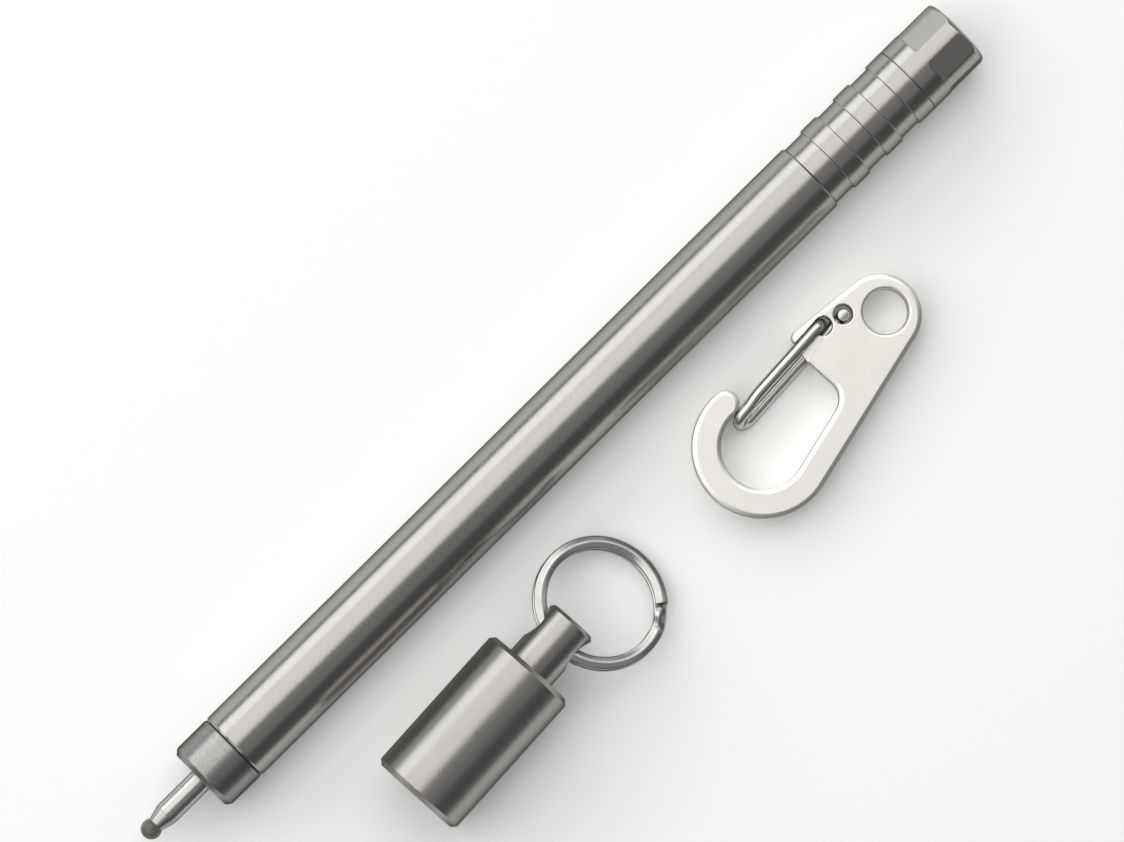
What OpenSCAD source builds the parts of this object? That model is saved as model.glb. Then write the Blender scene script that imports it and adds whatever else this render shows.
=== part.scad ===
// Telescopic pen with a key-ring cap and a snap hook, all lying on a table.
// Millimetres. The pen lies along X with its point towards -X, and Z is up from the table.

/* [Barrel] */
// Length of the barrel
barrel_len = 76.2; // [70:0.2:90]
// Wall of the barrel
barrel_wall = 0.65; // [0.5:0.05:0.75]
// Chamfer on the barrel's outer edges
barrel_edge = 0.14; // [0.05:0.01:0.2]
// Room round the inner tube for the bush and the brake ring, on radius
bore_room = 0.445; // [0.42:0.005:0.7]

/* [Nose collar] */
// Length of the collar in front of the seam
collar_len = 4.4; // [3.5:0.1:6]
// How much smaller the collar is than the barrel, across
collar_step = 0.06; // [0:0.02:0.2]
// Chamfer on the collar's front edge
collar_chamfer = 0.42; // [0.1:0.02:0.6]
// Length of the screwed spigot behind the seam
spigot_len = 3.6; // [3:0.1:6]
// Wall left in the barrel round the spigot
spigot_wall = 0.46; // [0.35:0.02:0.6]
// Width of the seal groove on the spigot
seal_w = 0.8; // [0.5:0.05:1]
// Depth of the seal groove
seal_depth = 0.5; // [0.3:0.05:0.7]
// Distance from the seam to the seal groove
seal_set = 0.3; // [0.2:0.05:0.6]
// Chamfer on the spigot's end
spigot_edge = 0.2; // [0.1:0.05:0.3]
// Relief behind the spigot in the barrel
spigot_relief = 0.4; // [0.2:0.05:1]

/* [Refill] */
// Diameter of the refill
refill_d = 2.35; // [2.3:0.01:2.4]
// Length of the refill
refill_len = 67; // [60:0.5:70]
// Wall of the refill tube
refill_wall = 0.3; // [0.2:0.02:0.4]
// How far the point stands out of the collar
tip_out = 6.87; // [5:0.01:8]
// Length of the point's cone
cone_len = 2.1; // [1.5:0.1:3]
// Diameter of the cone at its nose
nose_d = 1.2; // [1:0.05:1.6]
// Length of the tip's shank inside the tube
shank_len = 3; // [2:0.1:5]
// Diameter of the writing ball
ball_d = 0.7; // [0.5:0.05:0.8]
// How far the ball stands out of its cone
ball_out = 0.2; // [0.15:0.01:0.25]
// Diameter of the protective bead
bead_d = 2; // [1.8:0.05:2.3]
// Distance from the point to the bead's centre
bead_set = 0.35; // [0.3:0.05:0.6]

/* [Refill sleeve] */
// Wall of the sleeve that carries the refill
sleeve_wall = 0.4; // [0.3:0.05:0.5]
// How deep the sleeve sits in the collar, from the seam
sleeve_seat = 1.2; // [0.5:0.1:2.5]
// Depth of the plug in the sleeve's rear
plug_depth = 2; // [1:0.1:4]
// Thickness of the plug's head
plug_head = 0.8; // [0.5:0.1:1.5]

/* [Telescopic slide] */
// How far the tail pulls out
travel = 40; // [20:1:50]
// Wall of the inner tube
tube_wall = 0.7; // [0.5:0.05:0.8]
// Length of the guide bush
bush_len = 8; // [5:0.5:12]
// How much larger the bush's seat is than the barrel's bore, on radius
bush_step = 0.25; // [0.15:0.05:0.3]
// Width of the brake ring
brake_w = 2.4; // [1.5:0.1:4]
// Depth of the brake ring's groove in the tube
brake_depth = 0.3; // [0.2:0.05:0.4]
// Width of the tube's lip in front of the brake ring
lip_w = 0.7; // [0.5:0.1:1.5]
// Thickness of the wiper ring
wiper_t = 0.4; // [0.3:0.02:0.44]
// Distance from the barrel's rear to the wiper ring's middle
wiper_set = 1.6; // [1:0.1:3]

/* [Tail] */
// Number of raised rings on the grip
ring_count = 3; // [1:1:5]
// Width of a raised ring
rib_w = 2.06; // [1.5:0.02:3]
// Width of a groove
groove_w = 2.25; // [1:0.05:3]
// Depth of a groove
groove_depth = 0.21; // [0.1:0.01:0.4]
// Chamfer on the rings' edges
rib_edge = 0.06; // [0.02:0.01:0.09]
// Length of the end cap behind the rings
head_len = 6.6; // [5:0.1:9]
// Rounding of the end cap's outer edge
head_round = 0.6; // [0.2:0.05:1]
// Number of milled flats
flat_count = 6; // [3:1:8]
// Distance from the V line to the flats
flat_set = 2.1; // [1:0.1:3]
// Depth of a flat
flat_depth = 0.2; // [0.1:0.02:0.35]
// Corner radius at a flat's inner end
flat_round = 0.45; // [0.2:0.05:0.8]
// Turn of the first flat from the top, seen from the tail
flat_turn = 40; // [-60:5:60]
// Length of the end cap's spigot in the tube
tail_spigot = 5; // [3:0.5:8]

/* [Cap] */
// Wall of the cap
cap_wall = 1; // [0.8:0.05:1.4]
// How much of the barrel the closed cap covers
cap_cover = 2.3; // [1.5:0.1:6]
// Thickness of the cap's end
cap_end = 1.86; // [1.2:0.02:3]
// Chamfer on the cap's edges
cap_chamfer = 0.45; // [0.1:0.05:0.6]
// Distance from the mouth to the seal's middle
cap_seal_set = 1.7; // [1.4:0.1:2.2]
// Depth of the seal's groove
cap_seal_depth = 0.5; // [0.4:0.05:0.6]
// Chamfer inside the cap's mouth
cap_mouth = 0.25; // [0.1:0.05:0.4]
// How far the seal stands into the cap's bore
cap_seal_bite = 0.18; // [0.12:0.01:0.2]
// Diameter of the stem
stem_d = 5.1; // [4.6:0.1:6]
// Length of the stem
stem_len = 6; // [5.4:0.1:7]
// Rounding of the stem's end
stem_round = 0.35; // [0.1:0.05:0.4]
// Distance from the shoulder to the cross hole
hole_set = 3.74; // [3.3:0.02:4]
// Diameter of the cross hole
hole_d = 2.6; // [2.5:0.05:2.8]
// Depth of the hole's countersink
hole_sink = 0.5; // [0.4:0.05:0.6]

/* [Split ring] */
// Outer diameter of the split ring
ring_d = 13.1; // [12.8:0.1:16]
// Width of the ring's flat wire
ring_wire_w = 1.27; // [1:0.01:1.3]
// Thickness of the ring's flat wire
ring_wire_t = 0.62; // [0.45:0.01:0.63]
// Rounding of the wire's edges
ring_wire_round = 0.22; // [0.1:0.01:0.22]
// Gap between the two levels of wire
ring_coil_gap = 0.04; // [0.02:0.01:0.08]
// Turn of the wire's crossover round the ring
ring_cross_turn = -40; // [-60:5:60]
// Turn of the ring beside the cap's axis
ring_slant = -8.5; // [-9:0.5:9]
// How far the wire lies beyond the hole's middle
ring_offset = 0.3; // [0.25:0.01:0.32]

/* [Snap hook] */
// Thickness of the hook
hook_t = 3; // [2.8:0.1:3.6]
// Chamfer of the eye's hole
hook_edge = 0.3; // [0.1:0.05:0.35]
// Outer radius of the bow
bow_r = 6.7; // [6.5:0.05:7.5]
// Width of the hook's band
band_w = 2.7; // [2.5:0.05:2.8]
// Height of the bow's centre across the hook
bow_y = 0.25; // [0:0.05:0.4]
// Distance from the bow's centre to the eye's
eye_x = 16.65; // [16.4:0.05:17.2]
// Height of the eye's centre across the hook
eye_y = 0.3; // [0:0.05:0.4]
// Outer radius of the eye
eye_r = 3.9; // [3.7:0.05:4.1]
// Diameter of the hole in the eye
eye_hole_d = 4.28; // [4:0.02:4.5]
// How far the eye's hole sits towards the end
eye_shift = 0.6; // [0.4:0.05:0.7]
// Height of the eye's hole across the hook
eye_hole_y = 0.15; // [0:0.05:0.3]
// Angle round the bow where its nose ends
nose_turn = 83.6; // [82:0.2:86]
// Position of the web's inner edge along the hook
web_x = 8.85; // [8.6:0.05:9.1]
// Radius of the opening's corner
web_round = 2; // [1.2:0.1:2.2]
// Height of the gate-side corner of the web
corner_y = 2.6; // [2.4:0.05:3]
// Distance from the web's inner edge to the tongue's tip
tongue_set = 1.15; // [1:0.05:1.3]
// Height of the tongue's rounded tip
tongue_y = 4.6; // [4.5:0.05:4.7]
// Rounding of the tongue's tip
tongue_r = 0.7; // [0.6:0.05:0.8]

// Position of the rib between the gate's legs, along the hook
rib_x = 0.95; // [0.8:0.05:1.05]
// Height of that rib beside the front leg
rib_rise = 0.53; // [0.5:0.01:0.6]
// Diameter of that rib
rib_d = 0.84; // [0.7:0.02:1]

/* [Wire gate] */
// Diameter of the gate's wire
gate_d = 1.15; // [1:0.01:1.2]
// Position of the gate's round end along the hook
loop_x = 1.3; // [1.2:0.05:1.4]
// Position of the front leg's hole along the hook
pin_a_x = 12.26; // [11.8:0.02:12.4]
// Spacing of the two leg holes along the hook
pin_span = 2.1; // [1.96:0.02:2.4]
// Height of the front leg across the hook
leg_a_y = 3.97; // [3.94:0.01:4]
// Offset of the rear leg across the hook
leg_offset = 1.06; // [1:0.02:1.1]
// Shift of the front hole from its leg
hole_a_shift = -0.3; // [-0.31:0.01:-0.2]
// Shift of the rear hole from its leg
hole_b_shift = 0.07; // [0:0.01:0.1]
// How much more play the rear leg has, on radius
hole_b_more = 0.02; // [0.01:0.01:0.1]
// Play of the legs in their holes, on radius
pin_play = 0.34; // [0.33:0.01:0.36]
// How far the gate opens, in degrees
gate_open = 12; // [6:1:14]
// How far the front leg stands above the hook's face
gate_proud = 0.225; // [0.1:0.005:0.3]
// Height of the rear leg above the hook's back
gate_low = 0.025; // [0.01:0.005:0.05]
// Distance from the front leg's pin to the rear leg
pin_clear = 0.3; // [0.2:0.05:0.4]
// How deep the rear leg's end lies below the hook's face
pin_set = 0.45; // [0.3:0.05:0.6]
// Bend radius of the wire at its pins
gate_bend = 0.75; // [0.65:0.05:0.9]

/* [Layout] */
// Distance from the barrel's front to the cap's mouth, along the pen
cap_x = 8.85; // [5:0.05:12]
// Distance from the pen's axis to the cap's mouth
cap_y = -15.26; // [-18:0.02:-14]
// Turn of the cap beside the pen
cap_turn = 3.35; // [-5:0.05:8]
// Distance from the barrel's front to the hook's bow, along the pen
hook_x = 55.2; // [53:0.05:60]
// Distance from the pen's axis to the hook's bow
hook_y = -15.23; // [-18:0.01:-13.5]
// Turn of the hook beside the pen
hook_turn = 3.49; // [-5:0.01:8]

/* [Fits] */
// Gap between faces that meet across a joint
face_gap = 0.02; // [0.01:0.005:0.05]
// Sliding fit, on radius
slide_gap = 0.02; // [0.01:0.005:0.04]
// Running fit of the refill, on radius
run_gap = 0.05; // [0.02:0.005:0.08]
// Gap between the sleeve and the inner tube, on radius
tube_gap = 0.28; // [0.2:0.02:0.3]
// Gap between the cap and the barrel, on radius
cap_gap = 0.1; // [0.05:0.01:0.15]
// Gap between the closed gate and its seat in the nose
nose_gap = 0.05; // [0.03:0.01:0.1]
// Gap beside the gate's legs in their grooves
groove_gap = 0.06; // [0.04:0.01:0.1]
// Gap on each side of the rib between the gate's legs
rib_gap = 0.125; // [0.1:0.005:0.2]
// Gap round a seated ring or a pressed piece, on radius
seat_gap = 0.01; // [0.005:0.001:0.02]

/* [Hidden] */
$fn = 96;
eps = 0.01;
over = 1;

// Diameters of the nested tubes, from the refill outwards
sleeve_bore = refill_d + 2 * run_gap;
sleeve_d = sleeve_bore + 2 * sleeve_wall;
tube_bore = sleeve_d + 2 * tube_gap;
tube_d = tube_bore + 2 * tube_wall;
barrel_bore = tube_d + 2 * bore_room;
barrel_d = barrel_bore + 2 * barrel_wall;
bush_d = barrel_bore + 2 * bush_step;
bush_bore = tube_d + 2 * slide_gap;
collar_d = barrel_d - collar_step;
spigot_d = barrel_d - 2 * spigot_wall - 2 * slide_gap;

// Places along the pen, from the barrel's front face
collar_front = -face_gap - collar_len;
point_x = collar_front - tip_out;
cone_nose_x = point_x + ball_out;
cone_base_x = cone_nose_x + cone_len;
refill_rear = point_x + refill_len;
bead_x = point_x + bead_set;
pen_front = bead_x - bead_d / 2;
sleeve_rear = refill_rear + face_gap + plug_depth;
bush_front = barrel_len - bush_len;
brake_rear = bush_front - travel;
brake_front = brake_rear - brake_w;
tube_front = brake_front - lip_w;
grip_front = barrel_len + face_gap;
grip_len = ring_count * (groove_w + rib_w);
head_front = grip_front + grip_len;
pen_rear = head_front + head_len;

// The cap, from its mouth
cap_bore = barrel_d + 2 * cap_gap;
cap_d = cap_bore + 2 * cap_wall;
cap_depth = cap_cover - pen_front;
cap_len = cap_depth + cap_end;
cap_seal_r = cap_bore / 2 + cap_seal_depth;
cap_seal_t = cap_seal_depth + cap_seal_bite;
hole_x = cap_len + hole_set;

// The split ring lies against the cross hole and leans down to the table
ring_t = 2 * ring_wire_t + ring_coil_gap;
ring_mid_r = ring_d / 2 - ring_wire_w / 2;
ring_reach = ring_mid_r - ring_offset;
ring_far = ring_reach + ring_d / 2;
ring_lean = asin(cap_d / 2 / norm([ring_far, ring_t / 2])) - atan2(ring_t / 2, ring_far);

// The hook, from the centre of its bow, with the gate on the +Y side
bow_mid_r = bow_r - band_w / 2;
gate_r = gate_d / 2;
leg_b_y = leg_a_y - leg_offset;
pin_b_x = pin_a_x + pin_span;
hole_a_r = gate_r + pin_play;
hole_b_r = hole_a_r + hole_b_more;
hole_a_y = leg_a_y + hole_a_shift;
hole_b_y = leg_b_y + hole_b_shift;
leg_a_z = hook_t + gate_proud - gate_r;
leg_b_z = gate_r + gate_low;
gate_mid = [(pin_a_x + pin_b_x) / 2, (leg_a_y + leg_b_y) / 2];
loop_r = norm([leg_offset, leg_a_z - leg_b_z]) / 2;
loop_roll = atan2(leg_offset, leg_a_z - leg_b_z);
tongue_x = web_x + tongue_set;

// The row's origin: under the middle of everything
mid_x = (pen_front + pen_rear) / 2;
ring_low_y = cap_y + hole_x * sin(cap_turn) + ring_reach * cos(ring_lean) * sin(cap_turn + ring_slant)
             - ring_d / 2;
hook_low_y = hook_y + bow_y * cos(hook_turn) - bow_r;
mid_y = (min(hook_low_y, ring_low_y) + barrel_d / 2) / 2;

// Turns a shape that stands on Z so that it lies along +X
module along_x() { rotate([0, 90, 0]) children(); }

// Solid of revolution along the pen's axis: points are [place along the pen, radius]
module turned(points) {
    along_x() rotate_extrude() polygon([for (p = points) [p[1], p[0]]]);
}

// Moves a piece from the pen's own places to the row's frame
module pen_place() { translate([-mid_x, -mid_y, barrel_d / 2]) children(); }

// Moves a piece from the cap's own places, mouth at the origin, to the row's frame
module cap_place() {
    translate([cap_x - mid_x, cap_y - mid_y, cap_d / 2]) rotate([0, 0, cap_turn]) children();
}

// Moves a piece from the hook's own places, back face at z = 0, to the row's frame
module hook_place() {
    translate([hook_x - mid_x, hook_y - mid_y, 0]) rotate([0, 0, hook_turn]) children();
}

// A plain ring along the pen's axis, from x0 to x1
module tube_along(x0, x1, outer_d, bore_d) {
    translate([x0, 0, 0]) along_x() difference() {
        cylinder(d = outer_d, h = x1 - x0);
        translate([0, 0, -over]) cylinder(d = bore_d, h = x1 - x0 + 2 * over);
    }
}

// An O-ring round the pen's axis
module o_ring(x, mid_r, thick) {
    translate([x, 0, 0]) along_x() rotate_extrude() translate([mid_r, 0]) circle(d = thick, $fn = 40);
}

module barrel() {
    r = barrel_d / 2;
    bore = barrel_bore / 2;
    seat = spigot_d / 2 + slide_gap;
    color("#9a958d") pen_place() turned([
        [0, seat], [0, r - barrel_edge], [barrel_edge, r],
        [barrel_len - barrel_edge, r], [barrel_len, r - barrel_edge],
        [barrel_len, bush_d / 2], [bush_front, bush_d / 2], [bush_front, bore],
        [spigot_len + spigot_relief, bore], [spigot_len + spigot_relief, seat]]);
}

module nose_collar() {
    r = collar_d / 2;
    rear = -face_gap;
    groove_r = spigot_d / 2 - seal_depth;
    color("#a29d95") pen_place() turned([
        [collar_front, sleeve_bore / 2], [collar_front, r - collar_chamfer],
        [collar_front + collar_chamfer, r], [rear - barrel_edge / 2, r], [rear, r - barrel_edge / 2],
        [rear, spigot_d / 2], [seal_set, spigot_d / 2], [seal_set, groove_r],
        [seal_set + seal_w, groove_r], [seal_set + seal_w, spigot_d / 2],
        [spigot_len - spigot_edge, spigot_d / 2], [spigot_len, spigot_d / 2 - spigot_edge],
        [spigot_len, sleeve_d / 2], [-sleeve_seat, sleeve_d / 2], [-sleeve_seat, sleeve_bore / 2]]);
}

module collar_o_ring() {
    thick = min(seal_depth + slide_gap, seal_w) - 2 * seat_gap;
    color("#1c1c1c") pen_place()
        o_ring(seal_set + seal_w / 2, spigot_d / 2 - seal_depth + seat_gap + thick / 2, thick);
}

module refill_sleeve() {
    color("#b7b3aa") pen_place() tube_along(-sleeve_seat, sleeve_rear, sleeve_d - 2 * seat_gap, sleeve_bore);
}

module sleeve_plug() {
    color("#8d8a84") pen_place() turned([
        [sleeve_rear - plug_depth, 0], [sleeve_rear - plug_depth, sleeve_bore / 2 - seat_gap],
        [sleeve_rear, sleeve_bore / 2 - seat_gap], [sleeve_rear, sleeve_d / 2],
        [sleeve_rear + plug_head, sleeve_d / 2], [sleeve_rear + plug_head, 0]]);
}

module refill_tube() {
    color("#c9c6be") pen_place() tube_along(cone_base_x, refill_rear, refill_d, refill_d - 2 * refill_wall);
}

module refill_tip() {
    shank_r = refill_d / 2 - refill_wall - seat_gap;
    ball_x = point_x + ball_d / 2;
    socket_r = ball_d / 2 + seat_gap;
    feed_r = ball_d / 4;
    rim = acos((ball_x - cone_nose_x) / socket_r);
    root = 180 - asin(feed_r / socket_r);
    socket = [for (i = [0 : 6]) let (a = root + (rim - root) * i / 6)
                  [ball_x - socket_r * cos(a), socket_r * sin(a)]];
    color("#c4bfb2") pen_place() turned(concat(socket, [
        [cone_nose_x, nose_d / 2], [cone_base_x, refill_d / 2], [cone_base_x, shank_r],
        [cone_base_x + shank_len, shank_r], [cone_base_x + shank_len, feed_r]]));
}

module writing_ball() {
    color("#8b8b8b") pen_place() translate([point_x + ball_d / 2, 0, 0]) sphere(d = ball_d, $fn = 48);
}

module tip_bead() {
    cone_slope = (refill_d - nose_d) / 2 / cone_len;
    reach = bead_d;
    nose = cone_nose_x - seat_gap - bead_x;
    color("#6f6f63") pen_place() translate([bead_x, 0, 0]) along_x() rotate_extrude() difference() {
        circle(d = bead_d);
        translate([-2 * bead_d, -bead_d]) square(2 * bead_d);
        translate([0, point_x + ball_d / 2 - bead_x]) circle(d = ball_d + 2 * seat_gap, $fn = 48);
        polygon([[-over, nose], [nose_d / 2 + seat_gap, nose],
                 [nose_d / 2 + seat_gap + reach * cone_slope, nose + reach], [-over, nose + reach]]);
    }
}

module inner_tube() {
    r = tube_d / 2;
    groove_r = r - brake_depth;
    color("#b3afa6") pen_place() turned([
        [tube_front, tube_bore / 2], [tube_front, r], [brake_front, r], [brake_front, groove_r],
        [brake_rear, groove_r], [brake_rear, r], [head_front - face_gap, r],
        [head_front - face_gap, tube_bore / 2]]);
}

module brake_ring() {
    color("#d8d4c6") pen_place() tube_along(brake_front + face_gap, brake_rear - face_gap,
        barrel_bore - 2 * slide_gap, tube_d - 2 * brake_depth + 2 * slide_gap);
}

module slide_bush() {
    r = bush_d / 2 - seat_gap;
    bore = bush_bore / 2;
    groove_r = bore + wiper_t + seat_gap;
    x0 = barrel_len - wiper_set - wiper_t / 2 - face_gap;
    x1 = barrel_len - wiper_set + wiper_t / 2 + face_gap;
    color("#c0a66a") pen_place() turned([
        [bush_front, bore], [bush_front, r], [barrel_len, r], [barrel_len, bore],
        [x1, bore], [x1, groove_r], [x0, groove_r], [x0, bore]]);
}

module wiper_ring() {
    color("#202020") pen_place() o_ring(barrel_len - wiper_set, bush_bore / 2 + wiper_t / 2, wiper_t);
}

module rib_grip() {
    r = barrel_d / 2;
    low = r - groove_depth;
    e = rib_edge;
    step = groove_w + rib_w;
    color("#a19c93") pen_place() turned(concat(
        [[grip_front, tube_d / 2 + seat_gap], [grip_front, low]],
        [for (i = [0 : ring_count - 1]) let (x = grip_front + i * step + groove_w) each [
            [x, low], [x, r - e], [x + e, r], [x + rib_w - e, r], [x + rib_w, r - e],
            [x + rib_w, i < ring_count - 1 ? low : r - e]]],
        [[head_front, tube_d / 2 + seat_gap]]));
}

// A flat's cutter, square to the pen's axis, with rounded corners at its inner end
module flat_cutter() {
    half = sqrt(pow(barrel_d / 2, 2) - pow(barrel_d / 2 - flat_depth, 2));
    x0 = head_front + flat_set;
    x1 = pen_rear + over;
    translate([0, 0, barrel_d / 2 - flat_depth]) linear_extrude(barrel_d) union() {
        translate([x0 + flat_round, -half]) square([x1 - x0 - flat_round, 2 * half]);
        translate([x0, flat_round - half]) square([x1 - x0, 2 * (half - flat_round)]);
        for (s = [-1, 1]) translate([x0 + flat_round, s * (half - flat_round)]) circle(flat_round, $fn = 32);
    }
}

module end_cap() {
    r = barrel_d / 2;
    e = rib_edge * 1.5;
    arc = [for (a = [0 : 15 : 90]) [pen_rear - head_round + head_round * sin(a),
                                    r - head_round + head_round * cos(a)]];
    color("#a6a198") pen_place() difference() {
        turned(concat(
            [[head_front - tail_spigot, 0], [head_front - tail_spigot, tube_bore / 2 - seat_gap],
             [head_front, tube_bore / 2 - seat_gap], [head_front, r - e], [head_front + e, r]],
            arc, [[pen_rear, 0]]));
        for (i = [0 : flat_count - 1]) rotate([-flat_turn - i * 360 / flat_count, 0, 0]) flat_cutter();
    }
}

module cap_shell() {
    r = cap_d / 2;
    c = cap_chamfer;
    bore = cap_bore / 2;
    stem_r = stem_d / 2;
    stem_end = cap_len + stem_len;
    s0 = cap_seal_set - cap_seal_t / 2 - seat_gap;
    s1 = cap_seal_set + cap_seal_t / 2 + seat_gap;
    color("#8f8b83") cap_place() difference() {
        turned([
            [0, bore + cap_mouth], [0, r - c], [c, r], [cap_len - c, r], [cap_len, r - c],
            [cap_len, stem_r], [stem_end - stem_round, stem_r],
            [stem_end - stem_round * 0.3, stem_r - stem_round * 0.3], [stem_end, stem_r - stem_round],
            [stem_end, 0], [cap_depth, 0], [cap_depth, bore], [s1, bore], [s1, cap_seal_r],
            [s0, cap_seal_r], [s0, bore], [cap_mouth, bore]]);
        translate([hole_x, 0, 0]) rotate([90, 0, 0]) {
            cylinder(d = hole_d, h = stem_d + 2 * over, center = true);
            for (s = [0, 180]) rotate([s, 0, 0]) translate([0, 0, stem_r - hole_sink])
                cylinder(r1 = hole_d / 2, r2 = hole_d / 2 + hole_sink + over, h = hole_sink + over);
        }
    }
}

module cap_o_ring() {
    color("#1c1c1c") cap_place() o_ring(cap_seal_set, cap_seal_r - seat_gap - cap_seal_t / 2, cap_seal_t);
}

// Section of the ring's flat wire, with broken corners
module ring_section() {
    w = ring_wire_w / 2;
    h = ring_wire_t / 2;
    q = ring_wire_round;
    polygon([[-w, q - h], [q - w, -h], [w - q, -h], [w, q - h], [w, h - q], [w - q, h], [q - w, h], [-w, h - q]]);
}

// One level of the ring: the flat wire from angle a0 over a span
module ring_coil(a0, span, z) {
    translate([0, 0, z]) rotate([0, 0, a0]) rotate_extrude(angle = span)
        translate([ring_mid_r, 0]) ring_section();
}

module split_ring() {
    level = (ring_wire_t + ring_coil_gap) / 2;
    cross = 26;
    slit = 3;
    chord = 2 * ring_mid_r * sin(cross / 2);
    dip = atan2(2 * level, chord);
    run = norm([chord, 2 * level]) + 0.3;
    color("#b9b8b4") cap_place() translate([hole_x, 0, 0]) rotate([0, ring_lean, 0])
        rotate([0, 0, ring_slant]) translate([ring_reach, 0, 0]) rotate([0, 0, ring_cross_turn]) {
            ring_coil(slit, 360 - cross - slit, level);
            ring_coil(0, 360 - cross - slit, -level);
            rotate([0, 0, -cross / 2]) translate([ring_mid_r * cos(cross / 2), 0, 0]) rotate([90 - dip, 0, 0])
                translate([0, 0, -run / 2]) linear_extrude(run) ring_section();
        }
}

// Unit vector at an angle, and a point turned about another
function way(a) = [cos(a), sin(a)];
function turn_about(p, m, a) = m + [cos(a) * (p[0] - m[0]) - sin(a) * (p[1] - m[1]),
                                    sin(a) * (p[0] - m[0]) + cos(a) * (p[1] - m[1])];

// Points along an arc, about every 4 degrees
function arc(c, r, a0, a1) = let (n = ceil(abs(a1 - a0) / 4)) [for (i = [0 : n]) c + r * way(a0 + (a1 - a0) * i / n)];

// The room that a leg sweeps as the gate opens: h is half its width beside the leg's line
function swept(x0, x1, y, h) = let (mx = min(x0, gate_mid[0])) concat(
    x0 > gate_mid[0] ? [turn_about([x0, y + h], gate_mid, gate_open)] : [],
    [[mx, y + h], [x1, y + h], turn_about([x1, y - h], gate_mid, gate_open),
     turn_about([mx, y - h], gate_mid, gate_open), [x0, y - h]]);

// The hook's outline: bow, spine, eye, tongue, web and back round the inside of the bow to the nose
function hook_outline() = let (
    bow = [0, bow_y], eye = [eye_x, eye_y], tongue = [tongue_x, tongue_y], corner = [web_x, corner_y],
    low_a = atan2(eye_y - bow_y, eye_x) - acos((bow_r - eye_r) / norm(eye - bow)),
    top_a = atan2(eye_y - tongue_y, eye_x - tongue_x) + acos((tongue_r - eye_r) / norm(eye - tongue)),
    end_a = atan2(corner_y - tongue_y, web_x - tongue_x) + 360 - acos(tongue_r / norm(corner - tongue)),
    inner_r = bow_r - band_w,
    spine_in = bow + inner_r * way(low_a),
    fillet_x = web_x - web_round,
    fillet_s = (fillet_x - spine_in[0] + web_round * cos(low_a)) / cos(low_a + 90),
    fillet = spine_in + fillet_s * way(low_a + 90) - web_round * way(low_a)
) concat(
    arc(bow, bow_r, nose_turn, 360 + low_a), arc(eye, eye_r, low_a, top_a),
    arc(tongue, tongue_r, top_a, end_a), [corner], arc(fillet, web_round, 0, low_a),
    arc(bow, inner_r, 360 + low_a, nose_turn),
    arc(bow + bow_mid_r * way(nose_turn), band_w / 2, nose_turn + 184, nose_turn + 356));

// The gate's own frame: X along the legs from its round end, the front leg at Z = loop_r, the rear at -loop_r
module gate_frame() {
    translate([loop_x, (leg_a_y + leg_b_y) / 2, (leg_a_z + leg_b_z) / 2]) rotate([-loop_roll, 0, 0]) children();
}

// In the gate's frame: its round end, as a wire of radius r
module gate_loop(r) {
    rotate([90, 0, 0]) rotate([0, 0, 90]) rotate_extrude(angle = 180) translate([loop_r, 0]) circle(r, $fn = 40);
}

// In the gate's frame: the first length h of the leg at height z, as a wire of radius r
module gate_leg(r, z, h) {
    translate([0, 0, z]) along_x() cylinder(r = r, h = h, $fn = 40);
}

module hook_plate() {
    hole_at = [eye_x + eye_shift, eye_hole_y];
    c = hook_edge;
    color("#d6d3ca") hook_place() difference() {
        union() {
            difference() {
                linear_extrude(hook_t) polygon(hook_outline());
                gate_frame() {
                    gate_loop(gate_r + nose_gap);
                    gate_leg(gate_r + nose_gap, loop_r, over);
                }
            }
            nose_rib();
        }
        translate(hole_at) translate([0, 0, -over]) cylinder(d = eye_hole_d, h = hook_t + 2 * over);
        for (z = [0, hook_t]) translate(hole_at) translate([0, 0, z]) mirror([0, 0, z > 0 ? 1 : 0])
            translate([0, 0, -over]) cylinder(r1 = eye_hole_d / 2 + c + over, r2 = eye_hole_d / 2, h = c + over);
        translate([pin_a_x, hole_a_y, -over]) cylinder(r = hole_a_r, h = hook_t + 2 * over);
        translate([pin_b_x, hole_b_y, -over]) cylinder(r = hole_b_r, h = hook_t + 2 * over);
        leg_groove(pin_a_x, leg_a_y, leg_a_z - gate_r - groove_gap, hook_t + over);
        leg_groove(pin_b_x, leg_b_y, -over, leg_b_z + gate_r + groove_gap);
    }
}

// The thin rib that reaches from the middle of the nose in between the gate's legs
module nose_rib() {
    rib_t = leg_a_z - leg_b_z - gate_d - 2 * rib_gap;
    rib_y = leg_a_y + rib_rise;
    translate([rib_x, rib_y, (leg_a_z + leg_b_z - rib_t) / 2]) {
        cylinder(d = rib_d, h = rib_t);
        translate([-rib_d / 2, 0, 0]) cube([rib_d, bow_y + bow_mid_r * sin(nose_turn) - rib_y, rib_t]);
    }
}

module leg_groove(x, y, z0, z1) {
    translate([0, 0, z0]) linear_extrude(z1 - z0) polygon(swept(x, web_x - over, y, gate_r + groove_gap));
}

// A leg's end: a quarter bend into a pin of length h, down for the front leg (-1) or up for the rear one (1)
module gate_pin(x, way_z, h) {
    translate([x - loop_x, 0, -way_z * loop_r]) rotate([loop_roll, 0, 0]) {
        translate([-gate_bend, 0, way_z * gate_bend]) rotate([90, 0, 0])
            rotate([0, 0, way_z > 0 ? -90 : 0]) rotate_extrude(angle = 90)
                translate([gate_bend, 0]) circle(gate_r, $fn = 40);
        translate([0, 0, way_z > 0 ? gate_bend : -gate_bend - h]) cylinder(r = gate_r, h = h, $fn = 40);
    }
}

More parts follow.
